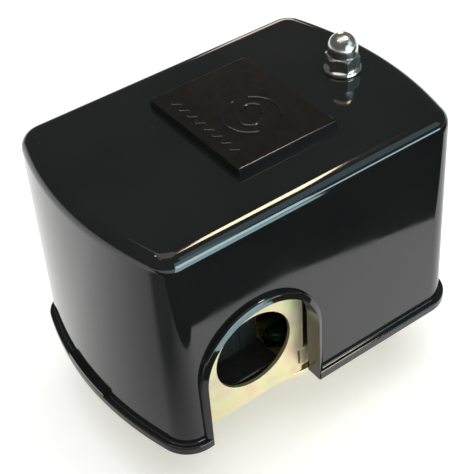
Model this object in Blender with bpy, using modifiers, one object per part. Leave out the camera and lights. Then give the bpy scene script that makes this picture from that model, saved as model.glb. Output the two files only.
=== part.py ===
"""Well-pump pressure switch: moulded cover, plated frame, contact block, lever and pressure housing.

The origin is the centre of the pressure port's lower face and +Z is up. X runs along the cover, with the
conduit entries near its -X end and the range spring near its +X end. Heights in the constants are measured
from the cover's lower edge, which lies PORT_DROP above the port's face. All sizes are in metres.
"""

import math

import bmesh
import bpy
from mathutils import Matrix, Vector

# Overall layout
PORT_DROP = 0.022
GAP = 0.0003
STEP_BACK = 0.0002
ROUND_STEPS = 16
FINE_STEPS = 28
LARGE_STEPS = 40

# Cover
COVER_LENGTH = 0.1005
COVER_WIDTH = 0.070
COVER_HEIGHT = 0.0622
END_BOW = 0.0040
LIP_PROJECTION = 0.0015
LIP_HEIGHT = 0.0025
LIP_CORNER = 0.0089
DRAFT = math.radians(0.78)
TOP_FILLET = 0.0040
WALL = 0.0022
PAD_MIN_X = -0.0119
PAD_MAX_X = 0.0171
PAD_HALF_WIDTH = 0.0184
PAD_HEIGHT = 0.0021
PAD_SLOPE = 0.0010
PAD_ROOT = 0.0005
TAB_MIN_Y = -0.006
TAB_MAX_Y = 0.012
TAB_INNER_X = -0.040
TAB_BOTTOM = 0.001
TAB_HEIGHT = 0.0036
RIB_MIN_X = 0.0385
RIB_MAX_X = 0.0460
RIB_Y = 0.012
RIB_HALF_WIDTH = 0.001
RIB_TOP = 0.018

# Cover nut
NUT_HOLE_RADIUS = 0.0029
NUT_HOLE_Z = (0.05, 0.07)
NUT_SEAT_GAP = 0.0001
ACORN_FLATS = 0.0080
ACORN_FIRST_CORNER = math.radians(6)
ACORN_HEX_HEIGHT = 0.0048
ACORN_FLANGE_RADIUS = 0.0050
ACORN_FLANGE_HEIGHT = 0.0011
ACORN_DOME_RADIUS = 0.0038
ACORN_DOME_RISE = 0.0017
ACORN_BORE_RADIUS = 0.0026
ACORN_BORE_DEPTH = 0.0078

# Conduit entries
ENTRY_X = -0.0182
ENTRY_Z = 0.0174
ENTRY_RADIUS = 0.0113
ARCH_X = -0.0190
ARCH_Z = 0.0201
ARCH_RADIUS = 0.0167
ARCH_BORDER = 0.0017
ARCH_OUTER_Y = 0.0349
ARCH_INNER_Y = 0.0300
ARCH_CUT_FOOT = -0.002

# Frame
SHEET = 0.0015
FLANGE_SHEET = 0.0010
FRAME_HALF_WIDTH = 0.0289
FRAME_HALF_LENGTH = 0.0400
FLOOR_BOTTOM = 0.0015
FLOOR_TOP = FLOOR_BOTTOM + SHEET
FLANGE_MIN_X = -0.0330
FLANGE_MAX_X = -0.0016
FLANGE_HEIGHT = 0.0330
FLANGE_FOOT = 0.0075
FLANGE_BEND = 0.0024
RETURN_Y = 0.0235
FRAME_CORNER = 0.003
SIDE_WALL_BOTTOM = 0.0020
SIDE_WALL_TOP = 0.0080
LUG_Y = 0.0094
LUG_RADIUS = 0.0035
LUG_FOOT = 0.0025

# Pressure side
HOUSING_RADIUS = 0.0293
HOUSING_TOP = -GAP
HOUSING_SHEET = 0.0016
CHAMBER_RADIUS = 0.0200
HOUSING_DEPTH = 0.0090
SPIGOT_RADIUS = 0.0070
PORT_FLATS = 0.0190
PORT_FIRST_CORNER = math.radians(30)
PORT_BORE = 0.0059
DIAPHRAGM_RADIUS = 0.0271
DIAPHRAGM_SHEET = 0.0012
CLAMP_CIRCLE_RADIUS = 0.0247
CLAMP_HOLE_RADIUS = 0.0020
CLAMP_HEAD_RADIUS = 0.0028
CLAMP_HEAD_HEIGHT = 0.0022
CLAMP_SHANK_RADIUS = 0.0016
CLAMP_TIP = 0.0028
PLUNGER_RADIUS = 0.0095
PLUNGER_BOTTOM = 0.0015
PLUNGER_FLANGE_TOP = 0.0036
PLUNGER_HOLE_RADIUS = PLUNGER_RADIUS + 0.0010
STEM_RADIUS = 0.0035
STEM_SHOULDER = 0.0085
STEM_TIP_RADIUS = 0.0020

# Lever and springs
PIVOT_X = -0.0080
PIVOT_Z = 0.0136
PIN_RADIUS = 0.0015
PIN_END_Y = 0.0122
RUNNING_CLEARANCE = 0.00006
LEVER_MIN_X = PIVOT_X - 0.0032
LEVER_BOTTOM = 0.0103
LEVER_TOP = LEVER_BOTTOM + SHEET
LEVER_HALF_WIDTH = 0.0091
RAIL_BOTTOM = LEVER_BOTTOM + GAP
RAIL_PROFILE = ((0.0255, 0.0135), (0.0220, 0.0145), (-0.0040, 0.0170))
TONGUE_HALF_WIDTH = 0.0040
TONGUE_TOP = 0.0240
WASHER_SHEET = 0.0012
SEAT_CLEARANCE = 0.0012
ADJUSTER_NUT_HEIGHT = 0.0045
ADJUSTER_FIRST_CORNER = math.radians(12)
STUD_CHAMFER = 0.0004

# Range adjuster; a spring is its radius, wire radius, turns and top
RANGE_X = 0.0345
RANGE_STUD_RADIUS = 0.0025
RANGE_STUD_TOP = COVER_HEIGHT + 0.0070
RANGE_HEAD_RADIUS = 0.0045
RANGE_HEAD_HEIGHT = 0.0018
RANGE_HOLE_RADIUS = 0.0040
RANGE_SPRING = (0.0066, 0.0009, 8, 0.0440)
RANGE_NUT_FLATS = 0.0095
RANGE_WASHER_RADIUS = 0.0078
STUD_NUT_FLATS = 0.0080
STUD_NUT_FIRST_CORNER = math.radians(20)
STUD_NUT_HEIGHT = 0.0040

# Differential adjuster
DIFFERENTIAL_X = 0.0205
DIFFERENTIAL_STUD_RADIUS = 0.0020
DIFFERENTIAL_STUD_TOP = 0.0395
DIFFERENTIAL_COLLAR_RADIUS = 0.0036
DIFFERENTIAL_COLLAR_HEIGHT = 0.0014
DIFFERENTIAL_HOLE_RADIUS = 0.0030
DIFFERENTIAL_SPRING = (0.0040, 0.0005, 7, 0.0300)
DIFFERENTIAL_NUT_FLATS = 0.0070
DIFFERENTIAL_WASHER_RADIUS = 0.0046

# Contact block
BLOCK_MIN_X = -0.0380
BLOCK_MAX_X = -0.0145
BLOCK_HALF_WIDTH = 0.0184
BLOCK_TOP = 0.0200
BASE_HALF_WIDTH = 0.0268
BASE_TOP = 0.0065
BASE_WING_X = -0.0090
BASE_NOTCH_X = -0.0122
BASE_NOTCH_Y = 0.0128
BODY_OVERLAP = 0.001
BARRIER_MAX_X = -0.0250
BARRIER_TOP = 0.0280
BARRIER = 0.0014
BARRIER_Y = 0.0092
EAR_RADIUS = 0.0028
EAR_CLEARANCE = 0.0006

# Terminals; a head is its radius and height, and a shank its radius and the height of its tip
TERMINAL_X = -0.0315
TERMINAL_HOLE_RADIUS = 0.0018
TERMINAL_HOLE_BOTTOM = 0.009
POLE_Y = (-0.0136, -0.00475, 0.00475, 0.0136)
STRIP_MIN_X = -0.0365
STRIP_MAX_X = -0.0168
STRIP_HALF_WIDTH = 0.0029
STRIP_TOP = BLOCK_TOP + GAP + 0.0008
CLAMP_PLATE_HALF = 0.0028
CLAMP_PLATE_SHEET = 0.001
TERMINAL_HEAD = (0.0027, 0.0025)
TERMINAL_SHANK = (0.0015, 0.0125)
FIXED_CONTACT_RADIUS = 0.0016
CONTACT_HEIGHT = 0.0010
CONTACT_X = -0.0192

# Fixings
GROUND_X = -0.0025
GROUND_Y = (-0.0175, 0.0175)
GROUND_HOLE_RADIUS = 0.0022
GROUND_WASHER_RADIUS = 0.0054
GROUND_WASHER_SHEET = 0.0009
GROUND_HEAD = (0.0040, 0.0032)
GROUND_SHANK = (0.0019, 0.0017)
BLOCK_SCREW_X = -0.0350
BLOCK_SCREW_Y = (-0.0225, 0.0225)
BLOCK_HOLE_RADIUS = 0.0018
BLOCK_HEAD = (0.0030, 0.0021)
BLOCK_SHANK = (0.0015, 0.0017)

# Moving contacts
CARRIER_X = -0.0125
CARRIER_Z = 0.0294
CARRIER_HALF_WIDTH = 0.0155
CARRIER_PIN_RADIUS = 0.0010
CARRIER_HUB_RADIUS = 0.0026
ARM_MIN_X = -0.0230
ARM_LOW = CARRIER_Z - 0.0012
ARM_HIGH = CARRIER_Z + 0.0012
TAIL_X = (-0.0138, -0.0116)
TAIL_HALF_WIDTH = 0.0035
TAIL_BOTTOM = 0.0222
NOSE_MAX_X = -0.0020
NOSE_HALF_WIDTH = 0.0025
POST_RADIUS = 0.0010
BRIDGE_Y = (-0.0092, 0.0092)
BRIDGE_HALF_LENGTH = 0.0062
BRIDGE_HALF_WIDTH = 0.0018
BRIDGE_HOLE_RADIUS = 0.0013
BRIDGE_SHEET = 0.0009
MOVING_CONTACT_RADIUS = 0.0014
MOVING_CONTACT_DROP = 0.0008
BRIDGE_LOW = STRIP_TOP + CONTACT_HEIGHT + GAP + MOVING_CONTACT_DROP
BRIDGE_SPRING_RADIUS = 0.0019
BRIDGE_SPRING_WIRE = 0.00025
BRIDGE_SPRING_TURNS = 4
RETURN_SPRING_X = -0.0040
RETURN_SPRING_RADIUS = 0.0017
RETURN_SPRING_WIRE = 0.00035
RETURN_SPRING_TURNS = 9

# Details that every screw and spring shares
SLOT_HALF_WIDTH = 0.0005
SLOT_DEPTH_SHARE = 0.45
HEAD_EDGE_SHARE = 0.25
COIL_STEPS = 10
END_TURN_SHARE = 2.2


# Scene helpers


def clear_scene():
    for old in list(bpy.data.objects):
        bpy.data.objects.remove(old, do_unlink=True)


def new_collection(name):
    collection = bpy.data.collections.new(name)
    bpy.context.scene.collection.children.link(collection)
    return collection


def new_empty(name, place):
    """The marker at the cover's lower edge that every part hangs from."""
    empty = bpy.data.objects.new(name, None)
    empty.location = place
    parts.objects.link(empty)
    return empty


def material(name, colour, roughness, metallic):
    surface = bpy.data.materials.new(name)
    surface.use_nodes = True
    shader = surface.node_tree.nodes["Principled BSDF"]
    shader.inputs["Base Color"].default_value = (*colour, 1.0)
    shader.inputs["Roughness"].default_value = roughness
    shader.inputs["Metallic"].default_value = metallic
    return surface


def add_part(name, mesh, surface, origin=(0.0, 0.0, 0.0)):
    """A named sub-part whose mesh is drawn in the rim frame and whose origin is moved to its axis."""
    mesh.transform(Matrix.Translation(-Vector(origin)))
    own = surface.copy()
    own.name = name + "_surface"
    mesh.materials.append(own)
    part = bpy.data.objects.new(name, mesh)
    part.location = origin
    part.parent = rim_frame
    parts.objects.link(part)
    return part


def smooth(part, angle=40):
    part.data.shade_smooth()
    part.data.set_sharp_from_angle(angle=math.radians(angle))
    return part


def boolean(part, mesh, operation):
    tool = bpy.data.objects.new(mesh.name, mesh)
    tool.parent = rim_frame
    tool.hide_render = True
    tool.display_type = "WIRE"
    cutters.objects.link(tool)
    modifier = part.modifiers.new(mesh.name, "BOOLEAN")
    modifier.operation = operation
    modifier.solver = "EXACT"
    modifier.object = tool


def cut(part, mesh):
    boolean(part, mesh, "DIFFERENCE")


def join(part, mesh):
    boolean(part, mesh, "UNION")


# Shapes


def evaluated_mesh(thing, merge=1e-6):
    """The mesh of a curve or modified object, welded, with the object itself removed."""
    bpy.context.scene.collection.objects.link(thing)
    bpy.context.view_layer.update()
    graph = bpy.context.evaluated_depsgraph_get()
    mesh = bpy.data.meshes.new_from_object(thing.evaluated_get(graph))
    mesh.transform(thing.matrix_world)
    mesh.name = thing.name
    bpy.data.objects.remove(thing, do_unlink=True)
    form = bmesh.new()
    form.from_mesh(mesh)
    bmesh.ops.remove_doubles(form, verts=form.verts, dist=merge)
    bmesh.ops.recalc_face_normals(form, faces=form.faces)
    form.to_mesh(mesh)
    form.free()
    return mesh


def box(name, low, high):
    low = Vector(low)
    high = Vector(high)
    form = bmesh.new()
    bmesh.ops.create_cube(form, size=1.0)
    bmesh.ops.scale(form, vec=high - low, verts=form.verts)
    bmesh.ops.translate(form, vec=(low + high) / 2, verts=form.verts)
    mesh = bpy.data.meshes.new(name)
    form.to_mesh(mesh)
    form.free()
    return mesh


def cylinder(name, radius, start, end, steps=ROUND_STEPS):
    """A round bar between two points."""
    start = Vector(start)
    end = Vector(end)
    form = bmesh.new()
    length = (end - start).length
    bmesh.ops.create_cone(
        form, cap_ends=True, segments=steps, radius1=radius, radius2=radius, depth=length
    )
    turn = (end - start).to_track_quat("Z", "Y").to_matrix().to_4x4()
    form.transform(Matrix.Translation((start + end) / 2) @ turn)
    mesh = bpy.data.meshes.new(name)
    form.to_mesh(mesh)
    form.free()
    return mesh


def circle(x, y, radius, steps=ROUND_STEPS):
    angles = [2 * math.pi * i / steps for i in range(steps)]
    return [(x + radius * math.cos(a), y + radius * math.sin(a)) for a in angles]


def hexagon(x, y, across_flats, first_corner=0.0):
    radius = across_flats / 2 / math.cos(math.pi / 6)
    angles = [first_corner + math.pi * i / 3 for i in range(6)]
    return [(x + radius * math.cos(a), y + radius * math.sin(a)) for a in angles]


def arc(x, y, radius, start, end, steps):
    """Points along an arc; angles in degrees."""
    angles = [math.radians(start + (end - start) * i / steps) for i in range(steps + 1)]
    return [(x + radius * math.cos(a), y + radius * math.sin(a)) for a in angles]


def plate(name, outlines, bottom, top):
    """A flat solid between two heights; the outlines after the first are its holes."""
    curve = bpy.data.curves.new(name, "CURVE")
    curve.dimensions = "2D"
    curve.fill_mode = "BOTH"
    curve.extrude = (top - bottom) / 2
    for outline in outlines:
        spline = curve.splines.new("POLY")
        spline.points.add(len(outline) - 1)
        for point, (x, y) in zip(spline.points, outline):
            point.co = (x, y, 0.0, 1.0)
        spline.use_cyclic_u = True
    guide = bpy.data.objects.new(name, curve)
    guide.location.z = (top + bottom) / 2
    return evaluated_mesh(guide)


def upright_plate(name, outlines, front, back):
    """A flat solid drawn in X and Z, standing between two Y values."""
    mesh = plate(name, outlines, -back, -front)
    mesh.transform(Matrix.Rotation(math.pi / 2, 4, "X"))
    return mesh


def turned(name, profile, centre=(0.0, 0.0), steps=ROUND_STEPS, closed=True):
    """A turned solid. The profile runs down its outer side; closed profiles leave a bore."""
    mesh = bpy.data.meshes.new(name)
    form = bmesh.new()
    points = [form.verts.new((radius, 0.0, height)) for radius, height in profile]
    for first, second in zip(points, points[1:]):
        form.edges.new((first, second))
    if closed:
        form.edges.new((points[-1], points[0]))
    form.to_mesh(mesh)
    form.free()
    shape = bpy.data.objects.new(name, mesh)
    shape.location = (*centre, 0.0)
    screw = shape.modifiers.new("turn", "SCREW")
    screw.steps = steps
    screw.render_steps = steps
    screw.use_merge_vertices = True
    screw.merge_threshold = 1e-5
    return evaluated_mesh(shape)


def ring(name, outer, inner, bottom, top, centre=(0.0, 0.0), steps=ROUND_STEPS):
    profile = [(outer, top), (outer, bottom), (inner, bottom), (inner, top)]
    return turned(name, profile, centre, steps)


def loft(name, rings):
    """A closed solid through rings of equal point counts, lowest first."""
    form = bmesh.new()
    loops = [[form.verts.new(point) for point in points] for points in rings]
    for low, high in zip(loops, loops[1:]):
        for i in range(len(low)):
            j = (i + 1) % len(low)
            form.faces.new((low[i], low[j], high[j], high[i]))
    form.faces.new(list(reversed(loops[0])))
    form.faces.new(loops[-1])
    mesh = bpy.data.meshes.new(name)
    form.to_mesh(mesh)
    form.free()
    return mesh


def coil(name, radius, wire, bottom, top, turns, centre):
    """A compression spring whose wire lies between two heights, with flat closed end turns."""
    low = bottom + wire
    high = top - wire
    curve = bpy.data.curves.new(name, "CURVE")
    curve.dimensions = "3D"
    curve.bevel_depth = wire
    curve.bevel_resolution = 0
    curve.use_fill_caps = True
    spline = curve.splines.new("POLY")
    spline.points.add(turns * COIL_STEPS)
    end_turn = END_TURN_SHARE * wire
    for i, point in enumerate(spline.points):
        turn = i / COIL_STEPS
        if turn < 1:
            height = low + end_turn * turn
        elif turn > turns - 1:
            height = high - end_turn * (turns - turn)
        else:
            height = low + end_turn + (high - low - 2 * end_turn) * (turn - 1) / (turns - 2)
        angle = 2 * math.pi * turn
        x = centre[0] + radius * math.cos(angle)
        y = centre[1] + radius * math.sin(angle)
        point.co = (x, y, height, 1.0)
    return evaluated_mesh(bpy.data.objects.new(name, curve))


def slotted_screw(name, surface, centre, seat, head, shank, down=False):
    """A pan-head screw with a slot, whose head sits on the seat height; down turns it upside down."""
    head_radius, head_height = head
    shank_radius, tip = shank
    edge = HEAD_EDGE_SHARE * head_height
    sign = -1 if down else 1
    face = seat + sign * head_height
    profile = [(0.0, face), (head_radius - edge, face), (head_radius, face - sign * edge)]
    profile += [(head_radius, seat), (shank_radius, seat), (shank_radius, tip), (0.0, tip)]
    if down:
        profile.reverse()
    mesh = turned(name, profile, centre, closed=False)
    screw = smooth(add_part(name, mesh, surface, (*centre, seat)))
    x, y = centre
    reach = 2 * head_radius
    low, high = sorted((face - sign * SLOT_DEPTH_SHARE * head_height, face + sign * head_height))
    corner = (x - reach, y - SLOT_HALF_WIDTH, low)
    cut(screw, box(name + "_slot", corner, (x + reach, y + SLOT_HALF_WIDTH, high)))


# Cover


def plan_outline(half_length, half_width, corner, steps=4):
    """Anticlockwise plan of the cover: straight sides, bowed ends and round corners."""
    end_x = half_length - corner
    end_y = half_width - corner
    quarter = []
    for i in range(steps + 1):
        t = i / steps
        angle = math.atan(2 * END_BOW * t / end_y)
        x = end_x - END_BOW * t * t + corner * math.cos(angle)
        quarter.append((x, end_y * t + corner * math.sin(angle)))
    slope = math.degrees(math.atan(2 * END_BOW / end_y))
    quarter += arc(end_x - END_BOW, end_y, corner, slope, 90, steps)[1:]
    upper = quarter + [(-x, y) for x, y in reversed(quarter)]
    lower = [(x, -y) for x, y in reversed(upper[1:-1])]
    return upper + lower


def cover_ring(inset, height, corner):
    outline = plan_outline(COVER_LENGTH / 2 - inset, COVER_WIDTH / 2 - inset, corner)
    return [(x, y, height) for x, y in outline]


def wall_inset(height):
    return LIP_PROJECTION + math.tan(DRAFT) * max(0.0, height - LIP_HEIGHT)


def fillet_rings(thickness, top, radius, corner, steps=3):
    """Rings round the top edge of the outer skin, or of the inner one when it has a thickness."""
    rings = []
    for i in range(steps + 1):
        angle = math.pi / 2 * i / steps
        shrink = radius * (1 - math.cos(angle))
        inset = wall_inset(top - radius) + thickness + shrink
        rings.append(cover_ring(inset, top - radius + radius * math.sin(angle), corner - shrink))
    return rings


def arch_outline(radius, foot):
    """Round arch on straight legs that end at the foot height."""
    half_turn = arc(ARCH_X, ARCH_Z, radius, 0, 180, 16)
    return [(ARCH_X + radius, foot)] + half_turn + [(ARCH_X - radius, foot)]


def make_cover():
    wall_corner = LIP_CORNER - LIP_PROJECTION
    inner_corner = wall_corner - WALL
    outer_rings = [cover_ring(0.0, 0.0, LIP_CORNER), cover_ring(0.0, LIP_HEIGHT, LIP_CORNER)]
    outer_rings += [cover_ring(LIP_PROJECTION, LIP_HEIGHT, wall_corner)]
    outer_rings += fillet_rings(0.0, COVER_HEIGHT, TOP_FILLET, wall_corner)
    inner_rings = [cover_ring(LIP_PROJECTION + WALL, -0.001, inner_corner)]
    inner_rings += fillet_rings(WALL, COVER_HEIGHT - WALL, TOP_FILLET - WALL, inner_corner)
    cover = add_part("cover", loft("cover", outer_rings), GLOSS_BLACK)
    for side in (-1, 1):
        faces = sorted((side * ARCH_OUTER_Y, side * ARCH_INNER_Y))
        border = arch_outline(ARCH_RADIUS + ARCH_BORDER, STEP_BACK)
        join(cover, upright_plate(f"arch_border_{side}", [border], *faces))
    join(cover, make_lip_tab())
    join(cover, make_pad())
    cut(cover, loft("cover_inside", inner_rings))
    for x_side in (-1, 1):
        left, right = sorted((x_side * RIB_MIN_X, x_side * RIB_MAX_X))
        for y in (-RIB_Y, RIB_Y):
            low = (left, y - RIB_HALF_WIDTH, FLOOR_TOP + GAP)
            join(cover, box("rib", low, (right, y + RIB_HALF_WIDTH, RIB_TOP)))
    opening = arch_outline(ARCH_RADIUS, ARCH_CUT_FOOT)
    cut(cover, upright_plate("arch_opening", [opening], -COVER_WIDTH, COVER_WIDTH))
    cut(cover, cylinder("nut_hole", NUT_HOLE_RADIUS, *[(RANGE_X, 0, z) for z in NUT_HOLE_Z]))
    smooth(cover, 35)


def make_lip_tab():
    """The thicker stretch of the lip at the cover's left end."""
    rings = [cover_ring(STEP_BACK / 2, z, LIP_CORNER) for z in (TAB_BOTTOM, TAB_HEIGHT)]
    tab = bpy.data.objects.new("lip_tab", loft("lip_tab", rings))
    corner = (-COVER_LENGTH, TAB_MIN_Y, 0.0)
    tab_slice = box("tab_slice", corner, (TAB_INNER_X, TAB_MAX_Y, TAB_HEIGHT + TAB_BOTTOM))
    trim = bpy.data.objects.new("tab_slice", tab_slice)
    cutters.objects.link(trim)
    keep = tab.modifiers.new("keep", "BOOLEAN")
    keep.operation = "INTERSECT"
    keep.object = trim
    mesh = evaluated_mesh(tab)
    bpy.data.objects.remove(trim, do_unlink=True)
    return mesh


def make_pad():
    """The raised label field on the cover's top, with sloped sides."""
    rings = []
    for spread, height in ((PAD_SLOPE, COVER_HEIGHT - PAD_ROOT), (0.0, COVER_HEIGHT + PAD_HEIGHT)):
        low = (PAD_MIN_X - spread, -PAD_HALF_WIDTH - spread)
        high = (PAD_MAX_X + spread, PAD_HALF_WIDTH + spread)
        corners = [low, (high[0], low[1]), high, (low[0], high[1])]
        rings.append([(x, y, height) for x, y in corners])
    return loft("pad", rings)


def make_acorn_nut():
    """Hex nut with a round flange below and a dome over its blind bore."""
    base = COVER_HEIGHT + NUT_SEAT_GAP
    hex_top = base + ACORN_HEX_HEIGHT
    dome_centre = hex_top + ACORN_DOME_RISE
    quarter = arc(0.0, dome_centre, ACORN_DOME_RADIUS, 90, 0, 5)
    profile = [(0.0, dome_centre + ACORN_DOME_RADIUS)] + quarter[1:]
    profile += [(ACORN_DOME_RADIUS, hex_top - 0.001), (0.0, hex_top - 0.001)]
    outline = hexagon(RANGE_X, 0.0, ACORN_FLATS, ACORN_FIRST_CORNER)
    mesh = plate("cover_acorn_nut", [outline], base, hex_top)
    foot = (RANGE_X, 0, base)
    nut = add_part("cover_acorn_nut", mesh, NICKEL, foot)
    join(nut, turned("acorn_dome", profile, (RANGE_X, 0.0), closed=False))
    flange_top = (RANGE_X, 0, base + ACORN_FLANGE_HEIGHT)
    join(nut, cylinder("acorn_flange", ACORN_FLANGE_RADIUS, foot, flange_top, FINE_STEPS))
    bore = [(RANGE_X, 0, base - 0.002), (RANGE_X, 0, base + ACORN_BORE_DEPTH)]
    cut(nut, cylinder("acorn_bore", ACORN_BORE_RADIUS, *bore))
    smooth(nut, 25)


# Frame and pressure side


def clamp_places():
    angles = [math.radians(45 + 90 * i) for i in range(4)]
    return [(CLAMP_CIRCLE_RADIUS * math.cos(a), CLAMP_CIRCLE_RADIUS * math.sin(a)) for a in angles]


def pivot_ends(half_length):
    """Both ends of a line along the lever's pivot."""
    return [(PIVOT_X, y, PIVOT_Z) for y in (-half_length, half_length)]


def carrier_ends(half_length):
    """Both ends of a line along the contact carrier's pin."""
    return [(CARRIER_X, y, CARRIER_Z) for y in (-half_length, half_length)]


def rounded_rectangle(half_length, half_width, corner):
    x = half_length - corner
    y = half_width - corner
    outline = arc(x, y, corner, 0, 90, 4) + arc(-x, y, corner, 90, 180, 4)
    return outline + arc(-x, -y, corner, 180, 270, 4) + arc(x, -y, corner, 270, 360, 4)


def flange_outline(side):
    """Plan of a conduit flange: a flat face with its +X end bent inwards."""
    face = FRAME_HALF_WIDTH
    bend_x = FLANGE_MAX_X - FLANGE_BEND
    bend_y = -face + FLANGE_BEND
    outline = [(FLANGE_MIN_X, -face)]
    outline += arc(bend_x, bend_y, FLANGE_BEND, -90, 0, 5)
    outline += [(FLANGE_MAX_X, -RETURN_Y), (FLANGE_MAX_X - FLANGE_SHEET, -RETURN_Y)]
    outline += arc(bend_x, bend_y, FLANGE_BEND - FLANGE_SHEET, 0, -90, 5)
    outline += [(FLANGE_MIN_X, -face + FLANGE_SHEET)]
    return [(x, -side * y) for x, y in outline]


def make_base_frame():
    """Stamped frame: floor, two conduit flanges, low side walls and the pivot lugs."""
    holes = [circle(0.0, 0.0, PLUNGER_HOLE_RADIUS, FINE_STEPS)]
    holes += [circle(x, y, CLAMP_HOLE_RADIUS) for x, y in clamp_places()]
    holes += [circle(RANGE_X, 0.0, RANGE_STUD_RADIUS + GAP)]
    holes += [circle(DIFFERENTIAL_X, 0.0, DIFFERENTIAL_STUD_RADIUS + GAP)]
    holes += [circle(GROUND_X, y, GROUND_HOLE_RADIUS) for y in GROUND_Y]
    holes += [circle(BLOCK_SCREW_X, y, BLOCK_HOLE_RADIUS) for y in BLOCK_SCREW_Y]
    floor = rounded_rectangle(FRAME_HALF_LENGTH, FRAME_HALF_WIDTH, FRAME_CORNER)
    mesh = plate("base_frame", [floor] + holes, FLOOR_BOTTOM, FLOOR_TOP)
    frame = add_part("base_frame", mesh, ZINC)
    bend_x = FLANGE_MAX_X - FLANGE_BEND
    wall_end = FRAME_HALF_LENGTH - FRAME_CORNER
    for side in (-1, 1):
        near, far = sorted((side * FRAME_HALF_WIDTH, side * (FRAME_HALF_WIDTH - FLANGE_SHEET)))
        join(frame, plate(f"flange_{side}", [flange_outline(side)], FLANGE_FOOT, FLANGE_HEIGHT))
        foot_top = FLANGE_FOOT + FLANGE_SHEET
        join(frame, box("flange_foot", (FLANGE_MIN_X, near, 0.0), (bend_x, far, foot_top)))
        wall_low = (bend_x - FLANGE_SHEET, near, SIDE_WALL_BOTTOM)
        join(frame, box("side_wall", wall_low, (wall_end, far, SIDE_WALL_TOP)))
        lug_faces = sorted((side * LUG_Y, side * (LUG_Y + SHEET)))
        head = arc(PIVOT_X, PIVOT_Z, LUG_RADIUS, 0, 180, 8)
        lug = [(PIVOT_X + LUG_RADIUS, LUG_FOOT)] + head + [(PIVOT_X - LUG_RADIUS, LUG_FOOT)]
        join(frame, upright_plate("pivot_lug", [lug], *lug_faces))
    entry = [(ENTRY_X, y, ENTRY_Z) for y in (-COVER_WIDTH, COVER_WIDTH)]
    cut(frame, cylinder("entry_hole", ENTRY_RADIUS, *entry, 48))
    cut(frame, cylinder("pin_hole", PIN_RADIUS + RUNNING_CLEARANCE, *pivot_ends(COVER_WIDTH)))
    smooth(frame)


def make_pressure_side():
    """Pressed housing and port below the frame, with the diaphragm, the plunger and the clamp screws."""
    under = HOUSING_TOP - HOUSING_SHEET
    floor = HOUSING_TOP - HOUSING_DEPTH
    floor_top = floor + HOUSING_SHEET
    profile = [(HOUSING_RADIUS, HOUSING_TOP), (HOUSING_RADIUS, under)]
    profile += [(CHAMBER_RADIUS + HOUSING_SHEET, under), (CHAMBER_RADIUS, floor), (SPIGOT_RADIUS, floor)]
    profile += [(SPIGOT_RADIUS, floor_top), (CHAMBER_RADIUS - HOUSING_SHEET, floor_top)]
    profile += [(CHAMBER_RADIUS, HOUSING_TOP)]
    mesh = turned("pressure_housing", profile, steps=LARGE_STEPS)
    housing = smooth(add_part("pressure_housing", mesh, ZINC))
    port_top = floor - GAP
    outline = hexagon(0.0, 0.0, PORT_FLATS, PORT_FIRST_CORNER)
    mesh = plate("pressure_port", [outline, circle(0, 0, PORT_BORE)], -PORT_DROP, port_top)
    port = add_part("pressure_port", mesh, STEEL)
    join(port, ring("port_spigot", SPIGOT_RADIUS - GAP, PORT_BORE, port_top - 0.001, floor_top))
    holes = [circle(x, y, CLAMP_HOLE_RADIUS) for x, y in clamp_places()]
    rubber = [circle(0, 0, DIAPHRAGM_RADIUS, LARGE_STEPS)] + holes
    add_part("diaphragm", plate("diaphragm", rubber, 0.0, DIAPHRAGM_SHEET), RUBBER)
    head = (CLAMP_HEAD_RADIUS, CLAMP_HEAD_HEIGHT)
    shank = (CLAMP_SHANK_RADIUS, CLAMP_TIP)
    for i, place in enumerate(clamp_places(), start=1):
        hole = [(*place, under - HOUSING_SHEET), (*place, HOUSING_TOP + HOUSING_SHEET)]
        cut(housing, cylinder(f"clamp_hole_{i}", CLAMP_HOLE_RADIUS, *hole))
        slotted_screw(f"housing_screw_{i}", STEEL, place, under - GAP, head, shank, down=True)
    tip = LEVER_BOTTOM - GAP
    stem = [(0.0, tip), (STEM_TIP_RADIUS, tip - 0.0004), (STEM_RADIUS, STEM_SHOULDER)]
    stem += [(STEM_RADIUS, PLUNGER_FLANGE_TOP + 0.0004), (PLUNGER_RADIUS, PLUNGER_FLANGE_TOP)]
    stem += [(PLUNGER_RADIUS, PLUNGER_BOTTOM), (0.0, PLUNGER_BOTTOM)]
    plunger = turned("plunger", stem, steps=FINE_STEPS, closed=False)
    smooth(add_part("plunger", plunger, BROWN_PLASTIC, (0, 0, PLUNGER_BOTTOM)))


# Lever, springs and adjusters


def make_lever():
    """Channel-shaped lever on the pivot pin, with holes for both studs and a tongue for the contacts."""
    w = LEVER_HALF_WIDTH
    outline = [(LEVER_MIN_X, -w)] + arc(RANGE_X, 0.0, w, -90, 90, 10) + [(LEVER_MIN_X, w)]
    holes = [circle(RANGE_X, 0.0, RANGE_HOLE_RADIUS)]
    holes += [circle(DIFFERENTIAL_X, 0.0, DIFFERENTIAL_HOLE_RADIUS)]
    mesh = plate("lever", [outline] + holes, LEVER_BOTTOM, LEVER_TOP)
    lever = add_part("lever", mesh, ZINC, (PIVOT_X, 0, PIVOT_Z))
    rail = [(LEVER_MIN_X, RAIL_BOTTOM), (RAIL_PROFILE[0][0], RAIL_BOTTOM), *RAIL_PROFILE]
    rail += [(LEVER_MIN_X, RAIL_PROFILE[-1][1])]
    for side in (-1, 1):
        join(lever, upright_plate("lever_rail", [rail], *sorted((side * w, side * (w - SHEET)))))
    low = (LEVER_MIN_X, -TONGUE_HALF_WIDTH, RAIL_BOTTOM)
    join(lever, box("lever_tongue", low, (LEVER_MIN_X + SHEET, TONGUE_HALF_WIDTH, TONGUE_TOP)))
    cut(lever, cylinder("lever_bore", PIN_RADIUS + RUNNING_CLEARANCE, *pivot_ends(PIN_END_Y)))
    smooth(lever)
    pin = cylinder("pivot_pin", PIN_RADIUS, *pivot_ends(PIN_END_Y))
    smooth(add_part("pivot_pin", pin, STEEL, (PIVOT_X, 0, PIVOT_Z)))


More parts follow.
